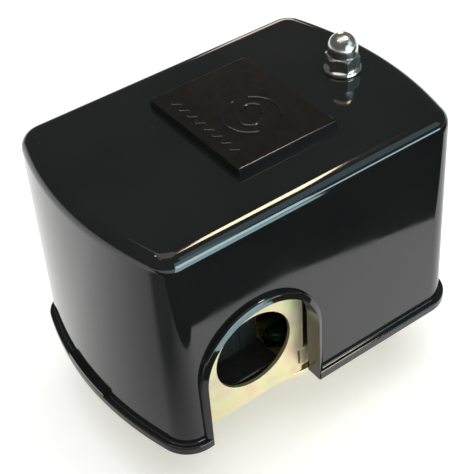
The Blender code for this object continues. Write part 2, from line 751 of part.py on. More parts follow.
def make_adjuster(name, x, stud_radius, spring, nut_flats, washer_radius):
    """Spring seat, spring, washer and adjusting nut on a stud."""
    radius, wire, turns, top = spring
    centre = (x, 0.0)
    seat_low = LEVER_TOP + GAP
    seat_top = seat_low + WASHER_SHEET
    seat_bore = stud_radius + SEAT_CLEARANCE
    seat = ring(f"{name}_spring_seat", washer_radius, seat_bore, seat_low, seat_top, centre)
    smooth(add_part(f"{name}_spring_seat", seat, STEEL, (x, 0, seat_low)))
    spring_mesh = coil(f"{name}_spring", radius, wire, seat_top + GAP, top, turns, centre)
    smooth(add_part(f"{name}_spring", spring_mesh, SPRING_STEEL, (x, 0, seat_top)))
    washer_low = top + GAP
    washer_top = washer_low + WASHER_SHEET
    washer = ring(f"{name}_washer", washer_radius, stud_radius + GAP, washer_low, washer_top, centre)
    smooth(add_part(f"{name}_washer", washer, STEEL, (x, 0, top)))
    nut_low = washer_top + GAP
    outline = hexagon(x, 0.0, nut_flats, ADJUSTER_FIRST_CORNER)
    hole = circle(x, 0.0, stud_radius + RUNNING_CLEARANCE)
    mesh = plate(f"{name}_nut", [outline, hole], nut_low, nut_low + ADJUSTER_NUT_HEIGHT)
    add_part(f"{name}_nut", mesh, STEEL, (x, 0, nut_low))


def make_studs():
    """Long range stud, fixed by a head under the frame and a nut above, and the short riveted one."""
    r = RANGE_STUD_RADIUS
    top = RANGE_STUD_TOP
    head_top = FLOOR_BOTTOM - GAP
    head_bottom = head_top - RANGE_HEAD_HEIGHT
    profile = [(0.0, top), (r - STUD_CHAMFER, top), (r, top - STUD_CHAMFER), (r, head_top)]
    profile += [(RANGE_HEAD_RADIUS, head_top), (RANGE_HEAD_RADIUS, head_bottom), (0.0, head_bottom)]
    stud = turned("range_stud", profile, (RANGE_X, 0.0), closed=False)
    smooth(add_part("range_stud", stud, STEEL, (RANGE_X, 0, 0)))
    low = FLOOR_TOP + GAP
    outline = hexagon(RANGE_X, 0.0, STUD_NUT_FLATS, STUD_NUT_FIRST_CORNER)
    hole = circle(RANGE_X, 0.0, r + RUNNING_CLEARANCE)
    mesh = plate("range_stud_nut", [outline, hole], low, low + STUD_NUT_HEIGHT)
    add_part("range_stud_nut", mesh, STEEL, (RANGE_X, 0, low))
    r = DIFFERENTIAL_STUD_RADIUS
    top = DIFFERENTIAL_STUD_TOP
    collar = DIFFERENTIAL_COLLAR_RADIUS
    collar_top = low + DIFFERENTIAL_COLLAR_HEIGHT
    foot = FLOOR_BOTTOM + STEP_BACK
    profile = [(0.0, top), (r - STUD_CHAMFER, top), (r, top - STUD_CHAMFER), (r, collar_top)]
    profile += [(collar, collar_top), (collar, low), (r, low), (r, foot), (0.0, foot)]
    stud = turned("differential_stud", profile, (DIFFERENTIAL_X, 0.0), closed=False)
    smooth(add_part("differential_stud", stud, STEEL))


# Contact block


def make_contact_block():
    """Moulded block: base between the flanges, body, pole barriers and ears for the carrier pin."""
    w = BASE_HALF_WIDTH
    outline = [(BLOCK_MIN_X, -w), (BASE_WING_X, -w), (BASE_WING_X, -BASE_NOTCH_Y)]
    outline += [(BASE_NOTCH_X, -BASE_NOTCH_Y), (BASE_NOTCH_X, BASE_NOTCH_Y)]
    outline += [(BASE_WING_X, BASE_NOTCH_Y), (BASE_WING_X, w), (BLOCK_MIN_X, w)]
    mesh = plate("contact_block", [outline], FLOOR_TOP + GAP, BASE_TOP)
    block = add_part("contact_block", mesh, PHENOLIC)
    w = BLOCK_HALF_WIDTH
    body_low = (BLOCK_MIN_X + STEP_BACK / 2, -w, BASE_TOP - BODY_OVERLAP)
    join(block, box("block_body", body_low, (BLOCK_MAX_X, w, BLOCK_TOP)))
    edge_y = w - BARRIER / 2 - STEP_BACK
    for y in (-edge_y, -BARRIER_Y, 0.0, BARRIER_Y, edge_y):
        low = (BLOCK_MIN_X + STEP_BACK, y - BARRIER / 2, BLOCK_TOP - BODY_OVERLAP)
        join(block, box("barrier", low, (BARRIER_MAX_X, y + BARRIER / 2, BARRIER_TOP)))
    ear_foot = BASE_TOP - BODY_OVERLAP
    ear = [(CARRIER_X + EAR_RADIUS, ear_foot)] + arc(CARRIER_X, CARRIER_Z, EAR_RADIUS, 0, 180, 8)
    ear += [(CARRIER_X - EAR_RADIUS, ear_foot)]
    for side in (-1, 1):
        faces = sorted((side * (CARRIER_HALF_WIDTH + EAR_CLEARANCE), side * (w - STEP_BACK)))
        join(block, upright_plate("carrier_ear", [ear], *faces))
    pin_hole = CARRIER_PIN_RADIUS + RUNNING_CLEARANCE
    cut(block, cylinder("carrier_pin_hole", pin_hole, *carrier_ends(BASE_HALF_WIDTH)))
    for y in POLE_Y:
        hole = [(TERMINAL_X, y, TERMINAL_HOLE_BOTTOM), (TERMINAL_X, y, BARRIER_TOP)]
        cut(block, cylinder("terminal_hole", TERMINAL_HOLE_RADIUS, *hole))
    for y in BLOCK_SCREW_Y:
        hole = [(BLOCK_SCREW_X, y, 0.0), (BLOCK_SCREW_X, y, BLOCK_TOP)]
        cut(block, cylinder("block_screw_hole", BLOCK_HOLE_RADIUS, *hole))


def make_terminals():
    """Four poles, each with its strip and fixed contact, a clamp plate and a screw."""
    x = TERMINAL_X
    for i, y in enumerate(POLE_Y, start=1):
        half = STRIP_HALF_WIDTH
        hole = circle(x, y, TERMINAL_HOLE_RADIUS)
        outline = [(STRIP_MIN_X, y - half), (STRIP_MAX_X, y - half)]
        outline += [(STRIP_MAX_X, y + half), (STRIP_MIN_X, y + half)]
        mesh = plate(f"terminal_strip_{i}", [outline, hole], BLOCK_TOP + GAP, STRIP_TOP)
        strip = add_part(f"terminal_strip_{i}", mesh, BRASS)
        ends = [(CONTACT_X, y, STRIP_TOP - 0.0004), (CONTACT_X, y, STRIP_TOP + CONTACT_HEIGHT)]
        join(strip, cylinder("fixed_contact", FIXED_CONTACT_RADIUS, *ends))
        low = STRIP_TOP + GAP
        half = CLAMP_PLATE_HALF
        square = [(x - half, y - half), (x + half, y - half), (x + half, y + half), (x - half, y + half)]
        clamp = plate(f"terminal_clamp_{i}", [square, hole], low, low + CLAMP_PLATE_SHEET)
        add_part(f"terminal_clamp_{i}", clamp, BRASS, (x, y, low))
        seat = low + CLAMP_PLATE_SHEET + GAP
        slotted_screw(f"terminal_screw_{i}", STEEL, (x, y), seat, TERMINAL_HEAD, TERMINAL_SHANK)


def make_fixings():
    """Ground screws with their cup washers, and the screws that hold the block down."""
    low = FLOOR_TOP + GAP
    top = low + GROUND_WASHER_SHEET
    for i, y in enumerate(GROUND_Y, start=1):
        place = (GROUND_X, y)
        sizes = (GROUND_WASHER_RADIUS, GROUND_HOLE_RADIUS, low, top)
        washer = ring(f"ground_washer_{i}", *sizes, place, FINE_STEPS)
        smooth(add_part(f"ground_washer_{i}", washer, BRASS, (*place, low)))
        slotted_screw(f"ground_screw_{i}", GREEN_STEEL, place, top + GAP, GROUND_HEAD, GROUND_SHANK)
    for i, y in enumerate(BLOCK_SCREW_Y, start=1):
        place = (BLOCK_SCREW_X, y)
        slotted_screw(f"block_screw_{i}", STEEL, place, BASE_TOP + GAP, BLOCK_HEAD, BLOCK_SHANK)


def make_carrier():
    """Moving contact carrier on its pin, with two sprung bridges under its arm."""
    w = CARRIER_HALF_WIDTH
    arm = box("contact_carrier", (ARM_MIN_X, -w, ARM_LOW), (CARRIER_X, w, ARM_HIGH))
    carrier = add_part("contact_carrier", arm, BROWN_PLASTIC, (CARRIER_X, 0, CARRIER_Z))
    join(carrier, cylinder("carrier_hub", CARRIER_HUB_RADIUS, *carrier_ends(w)))
    tail_low = (TAIL_X[0], -TAIL_HALF_WIDTH, TAIL_BOTTOM)
    join(carrier, box("carrier_tail", tail_low, (TAIL_X[1], TAIL_HALF_WIDTH, CARRIER_Z)))
    nose_low = (CARRIER_X, -NOSE_HALF_WIDTH, ARM_LOW)
    join(carrier, box("carrier_nose", nose_low, (NOSE_MAX_X, NOSE_HALF_WIDTH, ARM_HIGH)))
    for i, y in enumerate(BRIDGE_Y, start=1):
        post = [(CONTACT_X, y, BRIDGE_LOW - 0.0005), (CONTACT_X, y, CARRIER_Z)]
        join(carrier, cylinder("bridge_post", POST_RADIUS, *post, 12))
        make_bridge(i, y)
    bore = CARRIER_PIN_RADIUS + RUNNING_CLEARANCE
    cut(carrier, cylinder("carrier_bore", bore, *carrier_ends(BLOCK_HALF_WIDTH)))
    pin = cylinder("carrier_pin", CARRIER_PIN_RADIUS, *carrier_ends(BLOCK_HALF_WIDTH))
    smooth(add_part("carrier_pin", pin, STEEL, (CARRIER_X, 0, CARRIER_Z)))
    sizes = (RETURN_SPRING_RADIUS, RETURN_SPRING_WIRE, LEVER_TOP + GAP, ARM_LOW - GAP)
    spring = coil("return_spring", *sizes, RETURN_SPRING_TURNS, (RETURN_SPRING_X, 0.0))
    smooth(add_part("return_spring", spring, SPRING_STEEL, (RETURN_SPRING_X, 0, LEVER_TOP)))


def make_bridge(number, y):
    """A bar with two contacts that joins two poles, and the spring that presses it down."""
    x = CONTACT_X
    half = BRIDGE_HALF_WIDTH
    end = BRIDGE_HALF_LENGTH
    top = BRIDGE_LOW + BRIDGE_SHEET
    outline = [(x - half, y - end), (x + half, y - end), (x + half, y + end), (x - half, y + end)]
    hole = circle(x, y, BRIDGE_HOLE_RADIUS, 12)
    mesh = plate(f"contact_bridge_{number}", [outline, hole], BRIDGE_LOW, top)
    bridge = add_part(f"contact_bridge_{number}", mesh, BRASS, (x, y, BRIDGE_LOW))
    for pole_y in POLE_Y:
        if abs(pole_y - y) < end:
            ends = [(x, pole_y, BRIDGE_LOW - MOVING_CONTACT_DROP), (x, pole_y, BRIDGE_LOW + 0.0004)]
            join(bridge, cylinder("moving_contact", MOVING_CONTACT_RADIUS, *ends))
    low = top + GAP
    sizes = (BRIDGE_SPRING_RADIUS, BRIDGE_SPRING_WIRE, low, ARM_LOW - GAP)
    spring = coil(f"bridge_spring_{number}", *sizes, BRIDGE_SPRING_TURNS, (x, y))
    smooth(add_part(f"bridge_spring_{number}", spring, SPRING_STEEL, (x, y, low)))


clear_scene()
parts = new_collection("pressure_switch")
cutters = new_collection("cutters")
rim_frame = new_empty("rim_frame", (0.0, 0.0, PORT_DROP))

GLOSS_BLACK = material("gloss_black", (0.012, 0.012, 0.013), 0.12, 0.0)
PHENOLIC = material("phenolic", (0.015, 0.014, 0.013), 0.45, 0.0)
BROWN_PLASTIC = material("brown_plastic", (0.09, 0.045, 0.02), 0.5, 0.0)
RUBBER = material("rubber", (0.02, 0.02, 0.02), 0.8, 0.0)
NICKEL = material("nickel", (0.78, 0.76, 0.72), 0.08, 1.0)
STEEL = material("steel", (0.6, 0.6, 0.58), 0.3, 1.0)
SPRING_STEEL = material("spring_steel", (0.35, 0.35, 0.36), 0.35, 1.0)
ZINC = material("yellow_zinc", (0.80, 0.72, 0.50), 0.35, 0.9)
BRASS = material("brass", (0.75, 0.55, 0.25), 0.3, 1.0)
GREEN_STEEL = material("green_steel", (0.03, 0.25, 0.08), 0.3, 0.8)

make_cover()
make_acorn_nut()
make_base_frame()
make_pressure_side()
make_lever()
make_studs()
make_adjuster(
    "range", RANGE_X, RANGE_STUD_RADIUS, RANGE_SPRING, RANGE_NUT_FLATS, RANGE_WASHER_RADIUS
)
make_adjuster(
    "differential",
    DIFFERENTIAL_X,
    DIFFERENTIAL_STUD_RADIUS,
    DIFFERENTIAL_SPRING,
    DIFFERENTIAL_NUT_FLATS,
    DIFFERENTIAL_WASHER_RADIUS,
)
make_contact_block()
make_terminals()
make_fixings()
make_carrier()
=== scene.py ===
"""Looks of a well-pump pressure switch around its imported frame: moulded cover with its acorn nut, plated
frame, contact block, lever, springs and pressure housing. Lengths are metres in the frame's axes. Places
come from the boxes of the frame's nodes, and the constants below add the shapes that a box can't tell.
"""

import math

import bmesh
import bpy
from mathutils import Matrix, Vector


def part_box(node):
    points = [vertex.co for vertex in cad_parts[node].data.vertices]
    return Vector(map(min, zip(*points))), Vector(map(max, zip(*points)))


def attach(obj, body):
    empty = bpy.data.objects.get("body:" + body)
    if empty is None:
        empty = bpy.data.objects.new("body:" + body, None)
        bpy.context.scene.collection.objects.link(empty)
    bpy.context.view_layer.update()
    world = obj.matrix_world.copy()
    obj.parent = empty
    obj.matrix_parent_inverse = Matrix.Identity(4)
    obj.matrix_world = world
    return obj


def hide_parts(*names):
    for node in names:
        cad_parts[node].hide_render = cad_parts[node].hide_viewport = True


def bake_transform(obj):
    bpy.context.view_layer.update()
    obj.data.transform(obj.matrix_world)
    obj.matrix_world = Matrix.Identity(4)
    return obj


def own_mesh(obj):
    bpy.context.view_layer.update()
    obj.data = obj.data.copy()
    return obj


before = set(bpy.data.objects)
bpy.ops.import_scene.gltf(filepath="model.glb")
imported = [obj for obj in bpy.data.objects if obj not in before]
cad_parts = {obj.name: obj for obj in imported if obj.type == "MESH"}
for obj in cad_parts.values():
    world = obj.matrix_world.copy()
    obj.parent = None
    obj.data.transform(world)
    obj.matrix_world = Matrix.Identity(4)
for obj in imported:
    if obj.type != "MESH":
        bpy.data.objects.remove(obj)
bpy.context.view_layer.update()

# Camera
CAMERA_PLACE = (-0.12635, -0.18800, 0.24590)
CAMERA_RIGHT = (0.80353, -0.59264, -0.05585)
CAMERA_UP = (0.42633, 0.50748, 0.74880)
CAMERA_BACK = (-0.41543, -0.62549, 0.66044)
CAMERA_LENS = 86.79

# Cover
END_BOW = 0.0040
LIP_PROJECTION = 0.0015
LIP_HEIGHT = 0.0025
LIP_CORNER = 0.0089
LIP_ROUND = 0.0005
DRAFT = math.radians(0.78)
TOP_FILLET = 0.0040
WALL = 0.0022
PAD_MIN_X = -0.0119
PAD_MAX_X = 0.0171
PAD_HALF_WIDTH = 0.0184
PAD_HEIGHT = 0.0021
PAD_ROUND = 0.0005
PAD_EDGE = 0.00022
PAD_FOOT = 0.00025
WAVE_INSET = 0.0036
WAVE_SWING = 0.0009
WAVE_HALF_LENGTH = 0.0138
TAB_Y = (-0.006, 0.012)
TAB_HEIGHT = 0.0036
WAVES = 8
EMBLEM = (0.0031, -0.0033)
EMBLEM_RADIUS = 0.0073
SWIRL_RADIUS = 0.36 * EMBLEM_RADIUS
BEAD_HALF_WIDTH = 0.00040
BEAD_HEIGHT = 0.00034
BEAD_SECTION = [(-1.0, -0.5), (-0.95, 0.35), (-0.6, 0.85), (0.0, 1.0), (0.6, 0.85), (0.95, 0.35), (1.0, -0.5)]
RIB_X = (0.0388, 0.0460)
RIB_Y = 0.012
RIB_HALF = 0.001
RIB_Z = (0.0033, 0.018)

# Conduit entries and frame
ENTRY = (-0.0182, 0.0174)
ENTRY_RADIUS = 0.0113
ARCH = (-0.0190, 0.0201)
ARCH_RADIUS = 0.0167
ARCH_BORDER = 0.0017
ARCH_OUTER_Y = 0.0349
ARCH_INNER_Y = 0.0300
ARCH_ROUND = 0.0005
ARCH_SLOPE = 0.00070
SHEET = 0.0015
FLANGE_SHEET = 0.0010
FLANGE_X = (-0.0330, -0.0016)
FLANGE_HEIGHT = 0.0330
FLANGE_BEND = 0.0024
RETURN_Y = 0.0235
SIDE_WALL_TOP = 0.0080
FLOOR_GAP = 0.0015
FLOOR_CORNER = 0.003
NOTCH = (0.0004, 0.0076)
NOTCH_CORNER = 0.0006
SIDE_WALL_FOOT = 0.0020
LUG_Y = 0.0094
LUG_RADIUS = 0.0035
LUG_FOOT = 0.0025

# Acorn nut
ACORN_FLATS = 0.0080
ACORN_HEX_HEIGHT = 0.0048
ACORN_CHAMFER_RADIUS = 0.0036
ACORN_CHAMFER_DEPTH = 0.00085
ACORN_DOME = 0.0039
ACORN_SKIRT = ((0.0040, 0.0013), (0.0002, 0.0008))
ACORN_BORE = (0.0078, 0.0072)
ACORN_THREAD = (0.0027, 0.0002)

# Pressure side
HOUSING_SHEET = 0.0016
CHAMBER_RADIUS = 0.0200
SPIGOT_RADIUS = 0.0070
PORT_FLATS = 0.0190
PORT_CHAMFER = 0.0009
PORT_THREAD = (0.00585, 0.00141, 0.0006)
PORT_THREAD_DEPTH = 0.0110
PORT_DRILL = 0.0040
STEM_RADIUS = 0.0035

# Lever and adjusters
RAIL_TOP = ((0.0255, 0.0135), (0.0220, 0.0145), (-0.0040, 0.0170))
TONGUE_HALF_WIDTH = 0.0040
RANGE_STUD_RADIUS = 0.0025
SHORT_STUD_RADIUS = 0.0020
RANGE_WIRE = 0.0009
SHORT_WIRE = 0.0005
STUD_HEAD = (0.0045, 0.0018)
COLLAR = (0.0036, 0.0014)

# Contact block and carrier
BLOCK_BASE_TOP = 0.0065
BLOCK_BODY_TOP = 0.0200
BLOCK_BODY_X = -0.0145
BLOCK_HALF_WIDTH = 0.0184
WING_X = -0.0090
WAIST = (-0.0122, 0.0128)
BARRIER_END_X = -0.0250
BARRIER_TOP = 0.0280
BARRIER_HALF = 0.0007
POLE_PITCH = 0.0092
EAR_INNER_Y = 0.0161
EAR_RADIUS = 0.0028
FIXED_CONTACT_X = -0.0192
STRIP_SHEET = 0.0008
BRIDGE_SHEET = 0.0009
BRIDGE_CONTACT_Y = 0.0044
ARM_HALF = 0.0012
ARM_NECK = 0.0025
HUB_RADIUS = 0.0026
TAIL_X = (-0.0138, -0.0116)
TAIL_HALF = 0.0035
BRIDGE_WIRE = 0.00025
RETURN_WIRE = 0.00035

# Screw threads, heights of screw heads and radii of holes
PITCH_M5 = 0.0008
PITCH_M4 = 0.0007
THREAD_DEPTH = 0.00028
HOUSING_HEAD = 0.0022
TERMINAL_HEAD = 0.0025
GROUND_HEAD = 0.0032
BLOCK_HEAD = 0.0021
COVER_HOLE = 0.0029
HOUSING_HOLE = 0.0020
GROUND_HOLE = 0.0022
M3_HOLE = 0.0018
RANGE_STUD_HOLE = 0.0028
SHORT_STUD_HOLE = 0.0023
PIN_HOLE = 0.00156
CARRIER_PIN_HOLE = 0.00106
CARRIER_PIN = 0.0010

# Dark patch on the floor: centre x and y, full radius and faded radius
SHADE = (-0.130, -0.060, 0.040, 0.130)
SHADE_HEIGHT = 0.0008

ROUND = 64
SIDES = ((-1, "front"), (1, "rear"))
HOUSING_SCREWS = [f"housing_screw_{i}" for i in range(1, 5)]
TERMINAL_SCREWS = [f"terminal_screw_{i}" for i in range(1, 5)]
GROUND_SCREWS = ["ground_screw_1", "ground_screw_2"]
BLOCK_SCREWS = ["block_screw_1", "block_screw_2"]

cover_low, cover_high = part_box("cover")
RIM = cover_low.z
TOP = cover_high.z - PAD_HEIGHT
HALF_LENGTH = cover_high.x
HALF_WIDTH = cover_high.y
floor_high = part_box("base_frame")[1]
FRAME_X = floor_high.x
FRAME_Y = floor_high.y
SHEET_LOW = RIM + FLOOR_GAP
SHEET_TOP = SHEET_LOW + SHEET


def spot(node):
    """Centre x and y, radius, lowest z and highest z of an upright round node."""
    low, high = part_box(node)
    return (low.x + high.x) / 2, (low.y + high.y) / 2, (high.x - low.x) / 2, low.z, high.z


def centre_of(node):
    return tuple((low + high) / 2 for low, high in zip(*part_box(node)))


def show(name, data):
    """A new object in the scene."""
    thing = bpy.data.objects.new(name, data)
    bpy.context.scene.collection.objects.link(thing)
    return thing


# Outlines and profiles


def arc(x, y, radius, start, end, steps):
    """Points along an arc; angles in degrees."""
    angles = [math.radians(start + (end - start) * i / steps) for i in range(steps + 1)]
    return [(x + radius * math.cos(a), y + radius * math.sin(a)) for a in angles]


def circle(x, y, radius, steps=ROUND):
    return arc(x, y, radius, 0, 360, steps)[:-1]


def hexagon(x, y, across_flats, first_corner=0.0):
    radius = across_flats / 2 / math.cos(math.pi / 6)
    return arc(x, y, radius, first_corner, first_corner + 360, 6)[:-1]


def rounded(points, radius, steps=4, cyclic=False):
    """The same line with its corners rounded; a number or one radius for each point."""
    count = len(points)
    radii = radius if isinstance(radius, (list, tuple)) else [radius] * count
    out = []
    for i, point in enumerate(points):
        if radii[i] == 0 or (not cyclic and i in (0, count - 1)):
            out.append(tuple(point))
            continue
        corner = Vector(point)
        before = Vector(points[i - 1]) - corner
        after = Vector(points[(i + 1) % count]) - corner
        first = corner + before.normalized() * min(radii[i], 0.49 * before.length)
        last = corner + after.normalized() * min(radii[i], 0.49 * after.length)
        for k in range(steps + 1):
            t = k / steps
            out.append(tuple((1 - t) ** 2 * first + 2 * t * (1 - t) * corner + t * t * last))
    return out


def rectangle(low_x, low_y, high_x, high_y):
    return [(low_x, low_y), (high_x, low_y), (high_x, high_y), (low_x, high_y)]


def ridges(radius, start, end, pitch, depth):
    """A zigzag down a profile that stands for a screw's thread."""
    count = max(1, round(abs(end - start) / pitch))
    step = (end - start) / count
    points = []
    for i in range(count):
        points += [(radius - depth, start + i * step), (radius, start + (i + 0.5) * step)]
    return points + [(radius - depth, end)]


# Meshes


def weld(form, mesh, merge=1e-7):
    """The mesh made from a form, with its close points merged and its faces turned outwards."""
    bmesh.ops.remove_doubles(form, verts=form.verts, dist=merge)
    bmesh.ops.recalc_face_normals(form, faces=form.faces)
    form.to_mesh(mesh)
    form.free()
    return mesh


def evaluated(thing, merge=1e-7):
    """The mesh of a curve or modified object, welded, with the object itself removed."""
    bpy.context.scene.collection.objects.link(thing)
    bpy.context.view_layer.update()
    graph = bpy.context.evaluated_depsgraph_get()
    mesh = bpy.data.meshes.new_from_object(thing.evaluated_get(graph))
    mesh.transform(thing.matrix_world)
    bpy.data.objects.remove(thing, do_unlink=True)
    mesh.materials.clear()
    form = bmesh.new()
    form.from_mesh(mesh)
    return weld(form, mesh, merge)


def carve(mesh, tool, operation="DIFFERENCE"):
    """The first mesh with the second one cut away, kept in common or joined on."""
    cutter = show("cutter", tool)
    body = bpy.data.objects.new("carved", mesh)
    modifier = body.modifiers.new("carve", "BOOLEAN")
    modifier.operation = operation
    modifier.solver = "EXACT"
    modifier.object = cutter
    result = evaluated(body, 1e-6)
    bpy.data.objects.remove(cutter, do_unlink=True)
    return result


def loft(name, rings, closed=False):
    """A skin through rings of equal point counts, capped at both ends or closed on itself."""
    form = bmesh.new()
    loops = [[form.verts.new(point) for point in points] for points in rings]
    pairs = list(zip(loops, loops[1:]))
    if closed:
        pairs.append((loops[-1], loops[0]))
    for low, high in pairs:
        for i in range(len(low)):
            j = (i + 1) % len(low)
            form.faces.new((low[i], low[j], high[j], high[i]))
    if not closed:
        form.faces.new(loops[0])
        form.faces.new(loops[-1])
    return weld(form, bpy.data.meshes.new(name))


def turned(name, profile, centre=(0.0, 0.0), steps=ROUND):
    """A turned solid: a closed profile clear of the axis, or one that starts and ends on it."""
    solid = profile[0][0] == 0 and profile[-1][0] == 0
    form = bmesh.new()
    rings = []
    for radius, height in profile:
        if radius == 0:
            rings.append([form.verts.new((*centre, height))])
        else:
            rings.append([form.verts.new((x, y, height)) for x, y in circle(*centre, radius, steps)])
    pairs = list(zip(rings, rings[1:]))
    if not solid:
        pairs.append((rings[-1], rings[0]))
    for first, second in pairs:
        for i in range(steps):
            j = (i + 1) % steps
            corners = [first[i % len(first)], first[j % len(first)]]
            corners += [second[j % len(second)], second[i % len(second)]]
            form.faces.new(dict.fromkeys(corners))
    return weld(form, bpy.data.meshes.new(name))


def ring(name, outer, inner, bottom, top, centre=(0.0, 0.0), edge=0.0002):
    profile = rounded([(outer, top), (outer, bottom), (inner, bottom), (inner, top)], edge, 3, True)
    return turned(name, profile, centre)


def plate(name, outlines, bottom, top, edge=0.00015):
    """A flat solid with rounded edges between two heights; outlines after the first are its holes."""
    curve = bpy.data.curves.new(name, "CURVE")
    curve.dimensions = "2D"
    curve.fill_mode = "BOTH"
    curve.extrude = (top - bottom) / 2 - edge
    curve.bevel_depth = edge
    curve.bevel_resolution = 2
    curve.offset = -edge
    for outline in outlines:
        spline = curve.splines.new("POLY")
        spline.points.add(len(outline) - 1)
        for point, (x, y) in zip(spline.points, outline):
            point.co = (x, y, 0.0, 1.0)
        spline.use_cyclic_u = True
    guide = bpy.data.objects.new(name, curve)
    guide.location.z = (top + bottom) / 2
    return evaluated(guide, 1e-6)


def upright_plate(name, outlines, front, back, edge=0.00015):
    """A flat solid drawn in X and Z, standing between two Y values."""
    mesh = plate(name, outlines, -back, -front, edge)
    mesh.transform(Matrix.Rotation(math.pi / 2, 4, "X"))
    return mesh


def prism(name, outline, bottom, top):
    return loft(name, [[(x, y, z) for x, y in outline] for z in (bottom, top)])


def cross_prism(name, outline, front, back):
    """A prism of an X and Z outline that runs along Y."""
    return loft(name, [[(x, y, z) for x, z in outline] for y in (front, back)])


def faces(side, first, second):
    """Two Y values on one side of the middle, lowest first."""
    return sorted((side * first, side * second))


def eye(name, pin, radius, foot, hole, sides, edge=0.00015, hole_steps=40):
    """An upright lug with a round top and a hole for the pin at an X and Z."""
    x, z = pin
    outline = [(x + radius, foot)] + arc(x, z, radius, 0, 180, 24) + [(x - radius, foot)]
    return upright_plate(name, [outline, circle(x, z, hole, hole_steps)], *sides, edge)


def rod(name, start, end, radius, edge=0.0002, steps=48):
    """A round bar with rounded ends between two points."""
    start = Vector(start)
    end = Vector(end)
    length = (end - start).length
    profile = rounded([(0.0, length), (radius, length), (radius, 0.0), (0.0, 0.0)], edge)
    mesh = turned(name, profile, steps=steps)
    turn = (end - start).to_track_quat("Z", "Y").to_matrix().to_4x4()
    mesh.transform(Matrix.Translation(start) @ turn)
    return mesh


def chamfered_hex(name, centre, flats, first_corner, bottom, top, chamfer, inset, steps=ROUND):
    """A hexagonal bar whose two faces are turned down to a circle just inside its flats."""
    wide = flats / 2 / math.cos(math.pi / 6) + 0.0001
    face = flats / 2 - inset
    bar = prism(name, hexagon(*centre, flats, first_corner), bottom, top)
    barrel = [(0.0, top), (face, top), (wide, top - chamfer)]
    barrel += [(wide, bottom + chamfer), (face, bottom), (0.0, bottom)]
    return carve(bar, turned("barrel", barrel, centre, steps), "INTERSECT")


def coil(name, node, wire, turns, span=(0.0, 1.0), steps=32):
    """A share of a compression spring with closed ends, as tall and wide as its node."""
    x, y, radius, bottom, top = spot(node)
    radius -= wire
    low = bottom + wire
    high = top - wire
    end_turn = 2.2 * wire
    curve = bpy.data.curves.new(name, "CURVE")
    curve.dimensions = "3D"
    curve.bevel_depth = wire
    curve.bevel_resolution = 3
    curve.use_fill_caps = True
    first = round(span[0] * turns * steps)
    last = round(span[1] * turns * steps)
    spline = curve.splines.new("POLY")
    spline.points.add(last - first)
    for i, point in zip(range(first, last + 1), spline.points):
        turn = i / steps
        if turn < 1:
            height = low + end_turn * turn
        elif turn > turns - 1:
            height = high - end_turn * (turns - turn)
        else:
            height = low + end_turn + (high - low - 2 * end_turn) * (turn - 1) / (turns - 2)
        angle = 2 * math.pi * turn
        point.co = (x + radius * math.cos(angle), y + radius * math.sin(angle), height, 1.0)
    return evaluated(bpy.data.objects.new(name, curve))


def threaded(name, centre, radius, bottom, top, pitch, steps=32):
    """A studding bar with a real helical thread and chamfered ends."""
    depth = 0.54 * pitch
    rows = round((top - bottom) / pitch * 8)
    rings = []
    for i in range(rows + 1):
        z = bottom + (top - bottom) * i / rows
        limit = radius - max(0.0, 0.0005 - min(z - bottom, top - z))
        points = []
        for k in range(steps):
            phase = (z / pitch - k / steps) % 1
            width = min(limit, radius - depth * min(1.0, abs(2.4 * phase - 1.2)))
            angle = 2 * math.pi * k / steps
            points.append((centre[0] + width * math.cos(angle), centre[1] + width * math.sin(angle), z))
        rings.append(points)
    return loft(name, rings)


def bead(name, path, height, half_width=BEAD_HALF_WIDTH, rise=BEAD_HEIGHT, cyclic=False):
    """A raised line with a rounded top that follows a path drawn from above."""
    count = len(path)
    rings = []
    for i, (x, y) in enumerate(path):
        before = path[i - 1] if cyclic or i > 0 else path[i]
        after = path[(i + 1) % count] if cyclic or i < count - 1 else path[i]
        along = (Vector(after) - Vector(before)).normalized()
        rings.append([(x - along.y * half_width * s, y + along.x * half_width * s, height + rise * h)
                      for s, h in BEAD_SECTION])
    return loft(name, rings, cyclic)


# Finishes


def ramp_stops(ramp, stops):
    for element in list(ramp.elements)[1:]:
        ramp.elements.remove(element)
    ramp.elements[0].position = stops[0][0]
    ramp.elements[0].color = (*stops[0][1], 1.0)
    for position, colour in stops[1:]:
        ramp.elements.new(position).color = (*colour, 1.0)


def add_node(tree, kind, **inputs):
    """The outputs of a new shader node; its inputs take numbers, or other outputs that are linked."""
    made = tree.nodes.new("ShaderNode" + kind)
    for name, value in inputs.items():
        socket = made.inputs[name.replace("_", " ")]
        if isinstance(value, bpy.types.NodeSocket):
            tree.links.new(value, socket)
        else:
            socket.default_value = value
    return made.outputs


def noise(tree, place, scale, detail=3.0):
    return add_node(tree, "TexNoise", Scale=scale, Detail=detail, Vector=place)["Fac"]


def remap(tree, value, old, new):
    """A value remapped from one range to another."""
    ends = {"From_Min": old[0], "From_Max": old[1], "To_Min": new[0], "To_Max": new[1]}
    return add_node(tree, "MapRange", Value=value, **ends)["Result"]


def mix(tree, factor, first, second):
    """The first shader where the factor is 0 and the second where it is 1."""
    made = tree.nodes.new("ShaderNodeMixShader")
    for socket, value in zip(made.inputs, (factor, first, second)):
        tree.links.new(value, socket)
    return made.outputs["Shader"]


